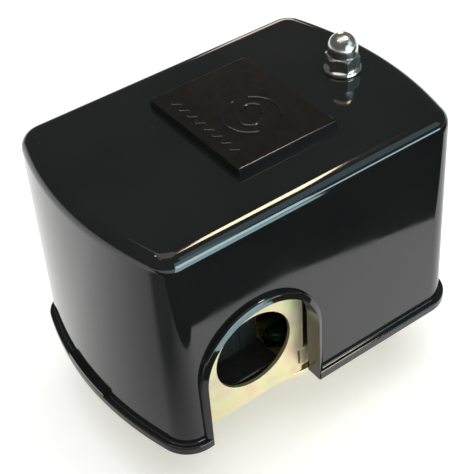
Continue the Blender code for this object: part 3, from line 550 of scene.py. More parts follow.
def finish(name, stops, rough, metallic=0.0, scale=60.0, grain=(2500.0, 0.05), specks=None, brushed=None,
           **sockets):
    """A surface whose colour runs through the stops with a noise, whose roughness varies between two values
    and whose grain is a bump (scale, strength). specks adds dust (scale, size, colour); brushed stretches
    the grain along one axis."""
    surface = bpy.data.materials.new(name)
    surface.use_nodes = True
    tree = surface.node_tree
    shader = tree.nodes["Principled BSDF"]
    shader.inputs["Metallic"].default_value = metallic
    for socket, value in sockets.items():
        shader.inputs[socket.replace("_", " ")].default_value = value
    place = add_node(tree, "TexCoord")["Object"]
    ramp = tree.nodes.new("ShaderNodeValToRGB")
    ramp_stops(ramp.color_ramp, stops)
    tree.links.new(noise(tree, place, scale), ramp.inputs["Fac"])
    colour = ramp.outputs["Color"]
    dull = remap(tree, noise(tree, place, scale * 2.7, 6.0), (0.35, 0.70), rough)
    if specks:
        cells = add_node(tree, "TexVoronoi", Scale=specks[0], Vector=place)
        dusty = tree.nodes.new("ShaderNodeMix")
        dusty.data_type = "RGBA"
        mask = remap(tree, cells["Distance"], (specks[1], specks[1] * 0.5), (0.0, 1.0))
        tree.links.new(mask, dusty.inputs["Factor"])
        tree.links.new(colour, dusty.inputs["A"])
        dusty.inputs["B"].default_value = (*specks[2], 1.0)
        colour = dusty.outputs["Result"]
    grain_place = add_node(tree, "Mapping", Scale=brushed, Vector=place)["Vector"] if brushed else place
    height = noise(tree, grain_place, grain[0], 2.0)
    bump = add_node(tree, "Bump", Strength=grain[1], Distance=0.0001, Height=height)["Normal"]
    for value, socket in ((colour, "Base Color"), (dull, "Roughness"), (bump, "Normal")):
        tree.links.new(value, shader.inputs[socket])
    return surface


FINISHES = {
    "gloss_black": finish(
        "gloss_black", [(0.35, (0.0075, 0.0080, 0.0080)), (0.65, (0.0105, 0.0108, 0.0108))], (0.045, 0.085),
        scale=35.0, grain=(420.0, 0.012), specks=(130.0, 0.030, (0.05, 0.05, 0.05)), IOR=1.56,
    ),
    "pad": finish(
        "matt_black", [(0.35, (0.0046, 0.0044, 0.0040)), (0.65, (0.0066, 0.0063, 0.0057))], (0.46, 0.58),
        scale=220.0, grain=(5200.0, 0.22), brushed=(1.0, 0.25, 1.0), Specular_IOR_Level=0.05,
    ),
    "phenolic": finish(
        "phenolic",
        [(0.30, (0.010, 0.0095, 0.009)), (0.62, (0.020, 0.018, 0.016)), (0.75, (0.035, 0.031, 0.027))],
        (0.32, 0.50), scale=900.0, grain=(3200.0, 0.15),
    ),
    "brown_plastic": finish(
        "brown_plastic", [(0.30, (0.060, 0.027, 0.011)), (0.70, (0.105, 0.050, 0.021))], (0.36, 0.52),
        scale=500.0, grain=(3000.0, 0.12),
    ),
    "diaphragm_rubber": finish(
        "rubber", [(0.30, (0.014, 0.014, 0.014)), (0.70, (0.028, 0.027, 0.026))], (0.60, 0.78),
        scale=300.0, grain=(2600.0, 0.3),
    ),
    "nickel": finish(
        "nickel", [(0.30, (0.76, 0.75, 0.71)), (0.70, (0.88, 0.87, 0.83))], (0.19, 0.27), 1.0,
        scale=300.0, grain=(3000.0, 0.015),
    ),
    "steel": finish(
        "bright_zinc", [(0.30, (0.50, 0.51, 0.52)), (0.70, (0.66, 0.66, 0.64))], (0.22, 0.34), 1.0,
        scale=300.0, grain=(3600.0, 0.045),
    ),
    "spring_steel": finish(
        "spring_steel", [(0.30, (0.27, 0.27, 0.28)), (0.70, (0.42, 0.41, 0.40))], (0.22, 0.38), 1.0,
        scale=380.0, grain=(3400.0, 0.10),
    ),
    "yellow_zinc": finish(
        "yellow_zinc",
        [(0.28, (0.80, 0.62, 0.40)), (0.42, (0.86, 0.74, 0.46)), (0.55, (0.80, 0.76, 0.44)),
         (0.68, (0.78, 0.62, 0.46)), (0.80, (0.66, 0.74, 0.50))],
        (0.30, 0.44), 0.80, scale=95.0, grain=(3000.0, 0.10),
    ),
    "brass": finish(
        "brass", [(0.30, (0.66, 0.46, 0.17)), (0.70, (0.80, 0.60, 0.28))], (0.20, 0.36), 1.0,
        scale=360.0, grain=(2400.0, 0.08),
    ),
    "green_steel": finish(
        "green_passivate", [(0.30, (0.040, 0.14, 0.070)), (0.70, (0.10, 0.22, 0.13))], (0.16, 0.28), 0.9,
        scale=420.0, grain=(2600.0, 0.08),
    ),
}


def piece(name, mesh, slot, body, *nodes, angle=35, bevel=0.0):
    """A shown piece: its finish, smooth shading, the body it rides on and the nodes it stands for."""
    mesh.name = name
    mesh.materials.clear()
    mesh.materials.append(FINISHES[slot])
    mesh.shade_smooth()
    mesh.set_sharp_from_angle(angle=math.radians(angle))
    part = show(name, mesh)
    if bevel:
        edge = part.modifiers.new("edge", "BEVEL")
        edge.width = bevel
        edge.segments = 3
        edge.limit_method = "ANGLE"
        edge.angle_limit = math.radians(angle)
    weighted = part.modifiers.new("normals", "WEIGHTED_NORMAL")
    weighted.keep_sharp = True
    if body:
        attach(part, body)
    if nodes:
        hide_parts(*nodes)
    return part


# Cover


def plan_outline(half_length, half_width, corner, steps=16):
    """Anticlockwise plan of the cover: straight sides, bowed ends and round corners."""
    end_x = half_length - corner
    end_y = half_width - corner
    quarter = []
    for i in range(steps + 1):
        t = i / steps
        angle = math.atan(2 * END_BOW * t / end_y)
        x = end_x - END_BOW * t * t + corner * math.cos(angle)
        quarter.append((x, end_y * t + corner * math.sin(angle)))
    slope = math.degrees(math.atan(2 * END_BOW / end_y))
    quarter += arc(end_x - END_BOW, end_y, corner, slope, 90, steps)[1:]
    upper = quarter + [(-x, y) for x, y in reversed(quarter)]
    lower = [(x, -y) for x, y in reversed(upper[1:-1])]
    return upper + lower


def cover_ring(inset, height):
    outline = plan_outline(HALF_LENGTH - inset, HALF_WIDTH - inset, max(LIP_CORNER - inset, 0.0004))
    return [(x, y, RIM + height) for x, y in outline]


def wall_inset(height):
    return LIP_PROJECTION + math.tan(DRAFT) * max(0.0, height - LIP_HEIGHT)


def fillet_profile(thickness, top, radius, steps):
    """(inset, height) points up round the top edge of the outer skin, or of the inner one."""
    points = []
    for i in range(steps + 1):
        angle = math.pi / 2 * i / steps
        inset = wall_inset(top - radius) + thickness + radius * (1 - math.cos(angle))
        points.append((inset, top - radius + radius * math.sin(angle)))
    return points


def arch_path(radius, foot, steps=48):
    """Round arch on straight legs, as points with their outward directions."""
    x, z = ARCH
    half_turn = arc(x, RIM + z, radius, 0, 180, steps)
    legs = [RIM + foot + (z - foot) * t for t in (0.0, 0.5)]
    right = [((x + radius, leg), (1.0, 0.0)) for leg in legs]
    left = [((x - radius, leg), (-1.0, 0.0)) for leg in reversed(legs)]
    turns = [((px, pz), ((px - x) / radius, (pz - RIM - z) / radius)) for px, pz in half_turn]
    return right + turns + left


def make_cover():
    """The moulded shell with its conduit openings, arch bands, label pad, lip tab and inner ribs."""
    height = TOP - RIM
    lip = [(0.0, 0.0), (0.0, LIP_HEIGHT), (LIP_PROJECTION, LIP_HEIGHT), (wall_inset(0.02), 0.02)]
    lip = rounded([(0.001, 0.0)] + lip, LIP_ROUND, 5)
    outer = lip + fillet_profile(0.0, height, TOP_FILLET, 14)
    inner = [(LIP_PROJECTION + WALL, 0.0)]
    inner += fillet_profile(WALL, height - WALL, TOP_FILLET - WALL, 6)
    profile = list(reversed(inner)) + outer
    profile += [(outer[-1][0] + 0.001, height)]
    shell = loft("cover_shell", [cover_ring(*point) for point in profile])
    opening = [point for point, _ in arch_path(ARCH_RADIUS + 0.0004, -0.003)]
    shell = carve(shell, cross_prism("opening", opening, -0.06, 0.06))
    x = spot("cover_acorn_nut")[0]
    shell = carve(shell, rod("stud_hole", (x, 0, TOP - 0.01), (x, 0, TOP + 0.01), COVER_HOLE))
    piece("cover_shell", shell, "gloss_black", "cover", "cover", angle=30)
    for side, end in SIDES:
        make_arch_band(side, end)
    make_pad()
    make_lip_tab()
    for end, side_x in (("left", -1), ("right", 1)):
        low_x, high_x = sorted(side_x * x for x in RIB_X)
        for side, place in SIDES:
            y = side * RIB_Y
            outline = rounded(rectangle(low_x, y - RIB_HALF, high_x, y + RIB_HALF), 0.0004, 3, True)
            rib = prism("rib", outline, RIM + RIB_Z[0], RIM + RIB_Z[1])
            piece(f"cover_rib_{end}_{place}", rib, "gloss_black", "cover", bevel=0.0002)


def make_arch_band(side, end):
    """The raised border round a conduit opening, whose face slopes back towards its outer edge."""
    front = ARCH_OUTER_Y
    section = [(0.0, ARCH_INNER_Y), (0.0, front), (ARCH_BORDER, front - ARCH_SLOPE)]
    section += [(ARCH_BORDER, ARCH_INNER_Y)]
    section = rounded(section, [0.0, 0.00015, ARCH_ROUND, 0.0], 6)
    rings = []
    for (x, z), (out_x, out_z) in arch_path(ARCH_RADIUS, 0.0002):
        rings.append([(x + out_x * r, side * y, z + out_z * r) for r, y in section])
    piece(f"arch_band_{end}", loft("arch_band", rings), "gloss_black", "cover", angle=30)


def make_pad():
    """The raised label field: glossy sides, a matt top, a generic round emblem and a plain wavy line."""
    top = TOP + PAD_HEIGHT
    profile = [(PAD_FOOT, TOP - 0.0004), (0.0, top), (-0.002, top)]
    rings = []
    for spread, height in rounded(profile, PAD_EDGE, 6):
        low = (PAD_MIN_X - spread, -PAD_HALF_WIDTH - spread)
        high = (PAD_MAX_X + spread, PAD_HALF_WIDTH + spread)
        outline = rounded(rectangle(*low, *high), PAD_ROUND, 4, True)
        rings.append([(x, y, height) for x, y in outline])
    pad = piece("label_pad", loft("pad", rings), "gloss_black", "cover", angle=50)
    pad.data.materials.append(FINISHES["pad"])
    for face in pad.data.polygons:
        if face.normal.z > 0.97:
            face.material_index = 1
    raised = top - BEAD_HEIGHT * 0.4
    x, y = EMBLEM
    r = EMBLEM_RADIUS
    lines = {
        "emblem_left": arc(x, y, r, 92, 248, 48),
        "emblem_right": arc(x, y, r, -42, 60, 32),
        "emblem_upper_swirl": arc(x + 0.0012, y + 0.0014, SWIRL_RADIUS, -70, 140, 32),
        "emblem_lower_swirl": arc(x - 0.0014, y - 0.0012, SWIRL_RADIUS, 110, 320, 32),
    }
    for name, path in lines.items():
        piece(name, bead(name, path, raised), "gloss_black", "cover", angle=60)
    steps = 16 * WAVES
    wave = []
    for i in range(steps + 1):
        turn = 2 * math.pi * WAVES * i / steps
        swing = WAVE_SWING * math.sin(turn)
        wave.append((PAD_MIN_X + WAVE_INSET + swing, WAVE_HALF_LENGTH * (2 * i / steps - 1)))
    line = bead("wave_line", wave, raised, 0.00030, 0.00028)
    piece("wave_line", line, "gloss_black", "cover", angle=60)


def make_lip_tab():
    """The tab that stands on the lip of the left end."""
    rings = [cover_ring(0.0002, 0.001), cover_ring(0.00005, TAB_HEIGHT - 0.0002)]
    rings += [cover_ring(0.0001, TAB_HEIGHT - 0.00005), cover_ring(0.00025, TAB_HEIGHT)]
    inner_x = -HALF_LENGTH + LIP_PROJECTION + 0.0012
    outline = rounded(rectangle(-0.06, TAB_Y[0], inner_x, TAB_Y[1]), 0.0002, 2, True)
    tab = carve(loft("tab", rings), prism("tab_slice", outline, RIM, RIM + 0.01), "INTERSECT")
    piece("lip_tab", tab, "gloss_black", "cover", angle=30)


def make_acorn_nut():
    """Plated acorn nut: round flange, chamfered hex and a dome on a short neck."""
    x, y, flange, base, top = spot("cover_acorn_nut")
    hex_top = base + ACORN_HEX_HEIGHT
    body = prism("acorn_hex", hexagon(x, y, ACORN_FLATS, 6), base + 0.0004, hex_top)
    wide = ACORN_FLATS / 2 / math.cos(math.pi / 6) + 0.0001
    barrel = [(0.0, hex_top + 0.001), (ACORN_CHAMFER_RADIUS, hex_top + 0.001)]
    barrel += [(ACORN_CHAMFER_RADIUS, hex_top + 0.0001), (wide, hex_top - ACORN_CHAMFER_DEPTH)]
    barrel += [(wide, base), (0.0, base)]
    body = carve(body, turned("acorn_barrel", barrel, (x, y)), "INTERSECT")
    centre = top - ACORN_DOME
    neck = ACORN_DOME - 0.0001
    angles = [math.radians(a) for a in range(0, 91, 5)]
    dome = [(ACORN_DOME * math.sin(a), centre + ACORN_DOME * math.cos(a)) for a in angles]
    dome += [(ACORN_DOME, hex_top + 0.0003), (neck, hex_top + 0.0001)]
    dome += [(neck, hex_top - 0.001), (0.0, hex_top - 0.001)]
    body = carve(body, turned("acorn_dome", dome, (x, y)), "UNION")
    (skirt_radius, skirt_top), (rim_width, rim_top) = ACORN_SKIRT
    skirt = [(0.0, base + skirt_top), (skirt_radius, base + skirt_top), (flange - rim_width, base + rim_top)]
    skirt = rounded(skirt + [(flange, base), (0.0, base)], 0.0003, 4)
    body = carve(body, turned("acorn_skirt", skirt, (x, y)), "UNION")
    drill, thread_top = ACORN_BORE
    thread_radius, thread_depth = ACORN_THREAD
    bore = ridges(thread_radius, base + thread_top, base - 0.001, PITCH_M5, thread_depth)
    bore = [(0.0, base + drill)] + bore + [(0.0, base - 0.001)]
    body = carve(body, turned("acorn_bore", bore, (x, y)))
    piece("acorn_nut", body, "nickel", "cover_nut", "cover_acorn_nut", angle=28, bevel=0.00012)


# Frame and pressure side


def screw_holes(names, radius):
    return [circle(*spot(name)[:2], radius, 32) for name in names]


def flange_outline(side):
    """Plan of a conduit flange: a flat face with its +X end bent inwards."""
    bend_x = FLANGE_X[1] - FLANGE_BEND
    bend_y = -FRAME_Y + FLANGE_BEND
    outline = [(FLANGE_X[0], -FRAME_Y)]
    outline += arc(bend_x, bend_y, FLANGE_BEND, -90, 0, 14)
    outline += [(FLANGE_X[1], -RETURN_Y), (FLANGE_X[1] - FLANGE_SHEET, -RETURN_Y)]
    outline += arc(bend_x, bend_y, FLANGE_BEND - FLANGE_SHEET, 0, -90, 14)
    outline += [(FLANGE_X[0], -FRAME_Y + FLANGE_SHEET)]
    return [(x, -side * y) for x, y in outline]


def make_base_frame():
    """Stamped frame: floor, two conduit flanges, low side walls and the pivot lugs."""
    holes = [circle(0.0, 0.0, spot("plunger")[2] + 0.0010)]
    holes += screw_holes(HOUSING_SCREWS, HOUSING_HOLE)
    holes += screw_holes(["range_stud"], RANGE_STUD_HOLE)
    holes += screw_holes(["differential_stud"], SHORT_STUD_HOLE)
    holes += screw_holes(GROUND_SCREWS, GROUND_HOLE) + screw_holes(BLOCK_SCREWS, M3_HOLE)
    sheet = rounded(rectangle(-FRAME_X, -FRAME_Y, FRAME_X, FRAME_Y), FLOOR_CORNER, 8, True)
    mesh = plate("frame_floor", [sheet] + holes, SHEET_LOW, SHEET_TOP, 0.0002)
    piece("frame_floor", mesh, "yellow_zinc", "root", "base_frame")
    entry_x, entry_z = ENTRY
    bend_x = FLANGE_X[1] - FLANGE_BEND
    notch_x, notch_top = bend_x + NOTCH[0], NOTCH[1]
    notch = [(notch_x, -0.001), (notch_x, notch_top), (0.01, notch_top), (0.01, -0.001)]
    notch = [(x, RIM + z) for x, z in rounded(notch, [0, NOTCH_CORNER, 0, 0], 5, True)]
    outline = rectangle(bend_x - 0.001, SIDE_WALL_FOOT, FRAME_X - FLOOR_CORNER, SIDE_WALL_TOP)
    outline = [(x, RIM + z) for x, z in rounded(outline, [0, 0.0006, 0.0015, 0], 6, True)]
    pin_x, _, pin_z = centre_of("pivot_pin")
    for side, end in SIDES:
        flange = prism("flange", flange_outline(side), RIM, RIM + FLANGE_HEIGHT)
        outside, inside = (entry_x, 2 * side * FRAME_Y, RIM + entry_z), (entry_x, 0.0, RIM + entry_z)
        flange = carve(flange, rod("entry", outside, inside, ENTRY_RADIUS, 0, 96))
        flange = carve(flange, cross_prism("foot_notch", notch, *faces(side, 0.02, 0.04)))
        piece(f"conduit_flange_{end}", flange, "yellow_zinc", "root", "base_frame", bevel=0.00012, angle=40)
        wall = upright_plate("side_wall", [outline], *faces(side, FRAME_Y, FRAME_Y - FLANGE_SHEET), 0.0003)
        piece(f"frame_side_{end}", wall, "yellow_zinc", "root", "base_frame")
        sides = faces(side, LUG_Y, LUG_Y + SHEET)
        lug = eye("lug", (pin_x, pin_z), LUG_RADIUS, RIM + LUG_FOOT, PIN_HOLE, sides)
        piece(f"pivot_lug_{end}", lug, "yellow_zinc", "root", "base_frame")


def screw(name, slot, head, slot_width=0.0009, shank=0.0015, down=False):
    """A slotted pan-head screw with a threaded shank, as tall and wide as its node."""
    x, y, radius, low, high = spot(name)
    sign = -1 if down else 1
    face, tip = (low, high) if down else (high, low)
    seat = face - sign * head
    crown = [(0.0, face), (0.55 * radius, face - sign * 0.00012), (0.9 * radius, face - sign * 0.0005)]
    crown += [(radius, face - sign * 0.0011), (radius, seat), (shank, seat)]
    crown = rounded(crown, [0, 0.001, 0.0006, 0.0004, 0.0002, 0], 4)
    thread = ridges(shank, seat - sign * 0.0006, tip + sign * 0.0004, PITCH_M4, THREAD_DEPTH)
    profile = crown + thread + [(shank - 0.0006, tip), (0.0, tip)]
    mesh = turned(name, profile, (x, y), 48)
    half = slot_width / 2
    depth = sorted((face + sign * 0.001, face - sign * 0.42 * head))
    groove = prism("groove", rectangle(x - 2 * radius, y - half, x + 2 * radius, y + half), *depth)
    piece(f"{name}_body", carve(mesh, groove), slot, name, name, angle=32, bevel=0.00008)


def make_pressure_side():
    """Pressed housing with rounded bends, hex port with a threaded bore, diaphragm, plunger and screws."""
    _, _, radius, floor, top = spot("pressure_housing")
    rim = top - HOUSING_SHEET
    profile = [(radius, top), (radius, rim), (CHAMBER_RADIUS + HOUSING_SHEET, rim)]
    profile += [(CHAMBER_RADIUS, floor), (SPIGOT_RADIUS, floor), (SPIGOT_RADIUS, floor + HOUSING_SHEET)]
    profile += [(CHAMBER_RADIUS - HOUSING_SHEET, floor + HOUSING_SHEET), (CHAMBER_RADIUS, top)]
    profile = rounded(profile, [0.0003, 0.0005, 0.0012, 0.0022, 0.0002, 0.0002, 0.0010, 0.0014], 6, True)
    housing = turned("housing", profile, steps=128)
    for name in HOUSING_SCREWS:
        x, y = spot(name)[:2]
        housing = carve(housing, rod("hole", (x, y, top - 0.01), (x, y, top + 0.01), HOUSING_HOLE, 0, 32))
        screw(name, "steel", HOUSING_HEAD, shank=0.0016, down=True)
    piece("housing_body", housing, "yellow_zinc", "root", "pressure_housing", angle=30)
    _, _, _, bottom, port_top = spot("pressure_port")
    hex_top = floor - 0.0003
    port = chamfered_hex("port_hex", (0.0, 0.0), PORT_FLATS, 30, bottom, hex_top, PORT_CHAMFER, 0.0002, 96)
    neck_radius = SPIGOT_RADIUS - 0.0003
    neck = [(0.0, port_top), (neck_radius, port_top), (neck_radius, hex_top - 0.001), (0.0, hex_top - 0.001)]
    port = carve(port, turned("port_neck", rounded(neck, [0, 0.0003, 0, 0])), "UNION")
    thread_radius, thread_pitch, thread_depth = PORT_THREAD
    bore = [(0.0, port_top + 0.001), (PORT_DRILL, port_top + 0.001), (PORT_DRILL, bottom + 0.0112)]
    bore += ridges(thread_radius, bottom + PORT_THREAD_DEPTH, bottom + 0.0010, thread_pitch, thread_depth)
    bore += [(0.0066, bottom - 0.0002), (0.0, bottom - 0.0002)]
    port = carve(port, turned("port_bore", bore, steps=96))
    piece("port_body", port, "steel", "root", "pressure_port", angle=28, bevel=0.0001)
    _, _, rubber_radius, low, high = spot("diaphragm")
    outlines = [circle(0, 0, rubber_radius, 128)] + screw_holes(HOUSING_SCREWS, HOUSING_HOLE)
    rubber = plate("rubber", outlines, low, high, 0.0003)
    piece("diaphragm_sheet", rubber, "diaphragm_rubber", "root", "diaphragm")
    _, _, wide, low, high = spot("plunger")
    stem = [(0.0, high), (0.0020, high - 0.0002), (STEM_RADIUS, high - 0.0016), (STEM_RADIUS, low + 0.0026)]
    stem += [(wide, low + 0.0021), (wide, low), (0.0, low)]
    stem = turned("stem", rounded(stem, [0, 0.0012, 0.0006, 0.0008, 0.0004, 0.0003, 0], 5))
    piece("plunger_body", stem, "brown_plastic", "plunger", "plunger")


# Lever, springs and adjusters


def make_lever():
    """Channel-shaped lever, with rounded rails, holes for both studs and a tongue for the contacts."""
    low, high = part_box("lever")
    left = low.x
    half = high.y
    range_x = spot("range_stud")[0]
    short_x = spot("differential_stud")[0]
    outline = [(left, -half)] + arc(range_x, 0.0, half, -90, 90, 40) + [(left, half)]
    holes = [circle(range_x, 0.0, 0.0040), circle(short_x, 0.0, 0.0030)]
    mesh = plate("lever", [outline] + holes, low.z, low.z + SHEET, 0.0002)
    piece("lever_plate", mesh, "yellow_zinc", "lever", "lever")
    pin_x, _, pin_z = centre_of("pivot_pin")
    foot = low.z + 0.0003
    rail = [(left, foot), (RAIL_TOP[0][0], foot)] + [(x, RIM + z) for x, z in RAIL_TOP]
    rail = rounded(rail + [(left, RIM + RAIL_TOP[-1][1])], [0.0, 0.0, 0.0012, 0.0025, 0.004, 0.0015], 6, True)
    bore = circle(pin_x, pin_z, PIN_HOLE, 40)
    for side, end in SIDES:
        mesh = upright_plate("rail", [rail, bore], *faces(side, half, half - SHEET), 0.0002)
        piece(f"lever_rail_{end}", mesh, "yellow_zinc", "lever", "lever")
    tongue = rectangle(-TONGUE_HALF_WIDTH, foot, TONGUE_HALF_WIDTH, high.z)
    tongue = rounded(tongue, [0, 0, 0.0018, 0.0018], 8, True)
    mesh = upright_plate("tongue", [tongue], -left - SHEET, -left, edge=0.0002)
    mesh.transform(Matrix.Rotation(math.pi / 2, 4, "Z"))
    piece("lever_tongue", mesh, "yellow_zinc", "lever", "lever")
    start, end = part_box("pivot_pin")
    pin = rod("pin", (pin_x, start.y, pin_z), (pin_x, end.y, pin_z), (end.x - start.x) / 2, 0.0003)
    piece("pivot_pin_body", pin, "steel", "root", "pivot_pin")


def hex_nut(name, body, flats, first_corner, stud_radius):
    """A nut chamfered on both faces and bored for its stud, as tall as its node."""
    low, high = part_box(name)
    x, y, _ = centre_of(name)
    mesh = chamfered_hex("nut", (x, y), flats, first_corner, low.z, high.z, 0.12 * flats / 2, 0.0001)
    radius = stud_radius + 0.00006
    bore = [(0.0, high.z + 0.001), (radius + 0.0005, high.z + 0.0001), (radius, high.z - 0.0004)]
    bore += [(radius, low.z + 0.0004), (radius + 0.0005, low.z - 0.0001), (0.0, low.z - 0.001)]
    mesh = carve(mesh, turned("bore", bore, (x, y)))
    piece(f"{name}_body", mesh, "steel", body, name, angle=28, bevel=0.0001)


def make_adjuster(name, stud_radius, wire, turns, nut_flats):
    """Spring seat, spring in two halves, washer and adjusting nut on a stud."""
    x, _, outer, low, high = spot(f"{name}_spring_seat")
    seat = ring("seat", outer, stud_radius + 0.0012, low, high, (x, 0.0), 0.0003)
    piece(f"{name}_seat_body", seat, "steel", "lever", f"{name}_spring_seat")
    _, _, outer, low, high = spot(f"{name}_washer")
    washer = ring("washer", outer, stud_radius + 0.0003, low, high, (x, 0.0), 0.0003)
    piece(f"{name}_washer_body", washer, "steel", f"{name}_washer", f"{name}_washer")
    hex_nut(f"{name}_nut", f"{name}_nut", nut_flats, 12, stud_radius)
    node = f"{name}_spring"
    _, _, _, low, high = spot(node)
    lower = piece(f"{node}_lower", coil("lower", node, wire, turns, (0.0, 0.5)), "spring_steel", None, node)
    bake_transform(lower)
    upper = piece(f"{node}_upper", coil("upper", node, wire, turns, (0.5, 1.0)), "spring_steel", None, node)
    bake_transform(upper)


def make_studs():
    """Long range stud with its fixing nut and the short riveted stud, both with real threads."""
    x, _, _, low, high = spot("range_stud")
    head_radius, head_height = STUD_HEAD
    foot = low + head_height
    stem = threaded("stem", (x, 0.0), RANGE_STUD_RADIUS, foot - 0.0003, high, PITCH_M5)
    piece("range_stud_thread", stem, "steel", "root", "range_stud", angle=60)
    head = rounded([(0.0, foot), (head_radius, foot), (head_radius, low), (0.0, low)], [0, 0.0003, 0.0005, 0])
    piece("range_stud_head", turned("head", head, (x, 0.0)), "steel", "root", "range_stud")
    hex_nut("range_stud_nut", "root", 0.0080, 20, RANGE_STUD_RADIUS)
    x, _, _, low, high = spot("differential_stud")
    collar_radius, collar_height = COLLAR
    collar = SHEET_TOP + 0.0003
    stem = threaded("stem", (x, 0.0), SHORT_STUD_RADIUS, low, high, PITCH_M4)
    piece("differential_stud_thread", stem, "steel", "root", "differential_stud", angle=60)
    base = ring("collar", collar_radius, 0.0018, collar, collar + collar_height, (x, 0.0), 0.0003)
    piece("differential_stud_collar", base, "steel", "root", "differential_stud")


# Contact block, terminals and contacts


def make_contact_block():
    """Moulded block: base between the flanges, body, barriers between poles and ears for the carrier pin."""
    low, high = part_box("contact_block")
    base_top = RIM + BLOCK_BASE_TOP
    body_top = RIM + BLOCK_BODY_TOP
    waist_x, waist_y = WAIST
    outline = [(low.x, -high.y), (WING_X, -high.y), (WING_X, -waist_y), (waist_x, -waist_y)]
    outline += [(waist_x, waist_y), (WING_X, waist_y), (WING_X, high.y), (low.x, high.y)]
    outline = rounded(outline, 0.0012, 5, True)
    mesh = plate("base", [outline] + screw_holes(BLOCK_SCREWS, M3_HOLE), low.z, base_top, 0.0004)
    piece("block_base", mesh, "phenolic", "root", "contact_block")
    outline = rectangle(low.x + 0.0001, -BLOCK_HALF_WIDTH, BLOCK_BODY_X, BLOCK_HALF_WIDTH)
    outlines = [rounded(outline, 0.0012, 5, True)] + screw_holes(TERMINAL_SCREWS, M3_HOLE)
    mesh = plate("body", outlines, base_top - 0.001, body_top, 0.0004)
    piece("block_body", mesh, "phenolic", "root", "contact_block")
    edge_y = BLOCK_HALF_WIDTH - BARRIER_HALF - 0.0002
    outline = rectangle(low.x + 0.0002, body_top - 0.001, BARRIER_END_X, RIM + BARRIER_TOP)
    outline = rounded(outline, [0, 0, 0.0016, 0.0016], 6, True)
    for i, y in enumerate((-edge_y, -POLE_PITCH, 0.0, POLE_PITCH, edge_y), start=1):
        mesh = upright_plate("barrier", [outline], y - BARRIER_HALF, y + BARRIER_HALF, 0.0003)
        piece(f"block_barrier_{i}", mesh, "phenolic", "root", "contact_block")
    pin_x, _, pin_z = centre_of("carrier_pin")
    for side, end in SIDES:
        sides = faces(side, EAR_INNER_Y, BLOCK_HALF_WIDTH - 0.0002)
        mesh = eye("ear", (pin_x, pin_z), EAR_RADIUS, base_top - 0.001, CARRIER_PIN_HOLE, sides, 0.0003, 32)
        piece(f"block_ear_{end}", mesh, "phenolic", "root", "contact_block")


def make_terminals():
    """Four brass strips with their fixed contacts, clamp plates and screws."""
    for i, name in enumerate(TERMINAL_SCREWS, start=1):
        low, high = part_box(f"terminal_strip_{i}")
        x, y = spot(name)[:2]
        hole = circle(x, y, M3_HOLE, 32)
        outline = rounded(rectangle(low.x, low.y, high.x, high.y), 0.0008, 5, True)
        strip = plate("strip", [outline, hole], low.z, low.z + STRIP_SHEET, 0.00012)
        piece(f"terminal_strip_{i}_body", strip, "brass", "root", f"terminal_strip_{i}")
        foot = low.z + 0.0004
        button = [(0.0, high.z), (0.0011, high.z - 0.0001), (0.0016, high.z - 0.0004)]
        button += [(0.0016, foot), (0.0, foot)]
        button = turned("button", rounded(button, [0, 0.0006, 0.0004, 0, 0]), (FIXED_CONTACT_X, y), 40)
        piece(f"fixed_contact_{i}", button, "nickel", "root", f"terminal_strip_{i}")
        low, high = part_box(f"terminal_clamp_{i}")
        square = rounded(rectangle(low.x, low.y, high.x, high.y), 0.0006, 5, True)
        clamp = plate("clamp", [square, hole], low.z, high.z, 0.00025)
        piece(f"terminal_clamp_{i}_body", clamp, "brass", f"terminal_clamp_{i}", f"terminal_clamp_{i}")
        screw(name, "steel", TERMINAL_HEAD)


def make_fixings():
    """Green ground screws with their cup washers, and the screws of the contact block."""
    for i in (1, 2):
        x, y, outer, low, high = spot(f"ground_washer_{i}")
        floor = high - 0.0003
        cup = [(outer, high), (outer, low), (0.0022, low), (0.0022, floor), (outer - 0.0012, floor)]
        cup = turned("cup", rounded(cup, 0.0003, 4, True), (x, y))
        piece(f"ground_washer_{i}_body", cup, "brass", f"ground_washer_{i}", f"ground_washer_{i}")
        screw(f"ground_screw_{i}", "green_steel", GROUND_HEAD, slot_width=0.0011, shank=0.0019)
        screw(f"block_screw_{i}", "steel", BLOCK_HEAD)


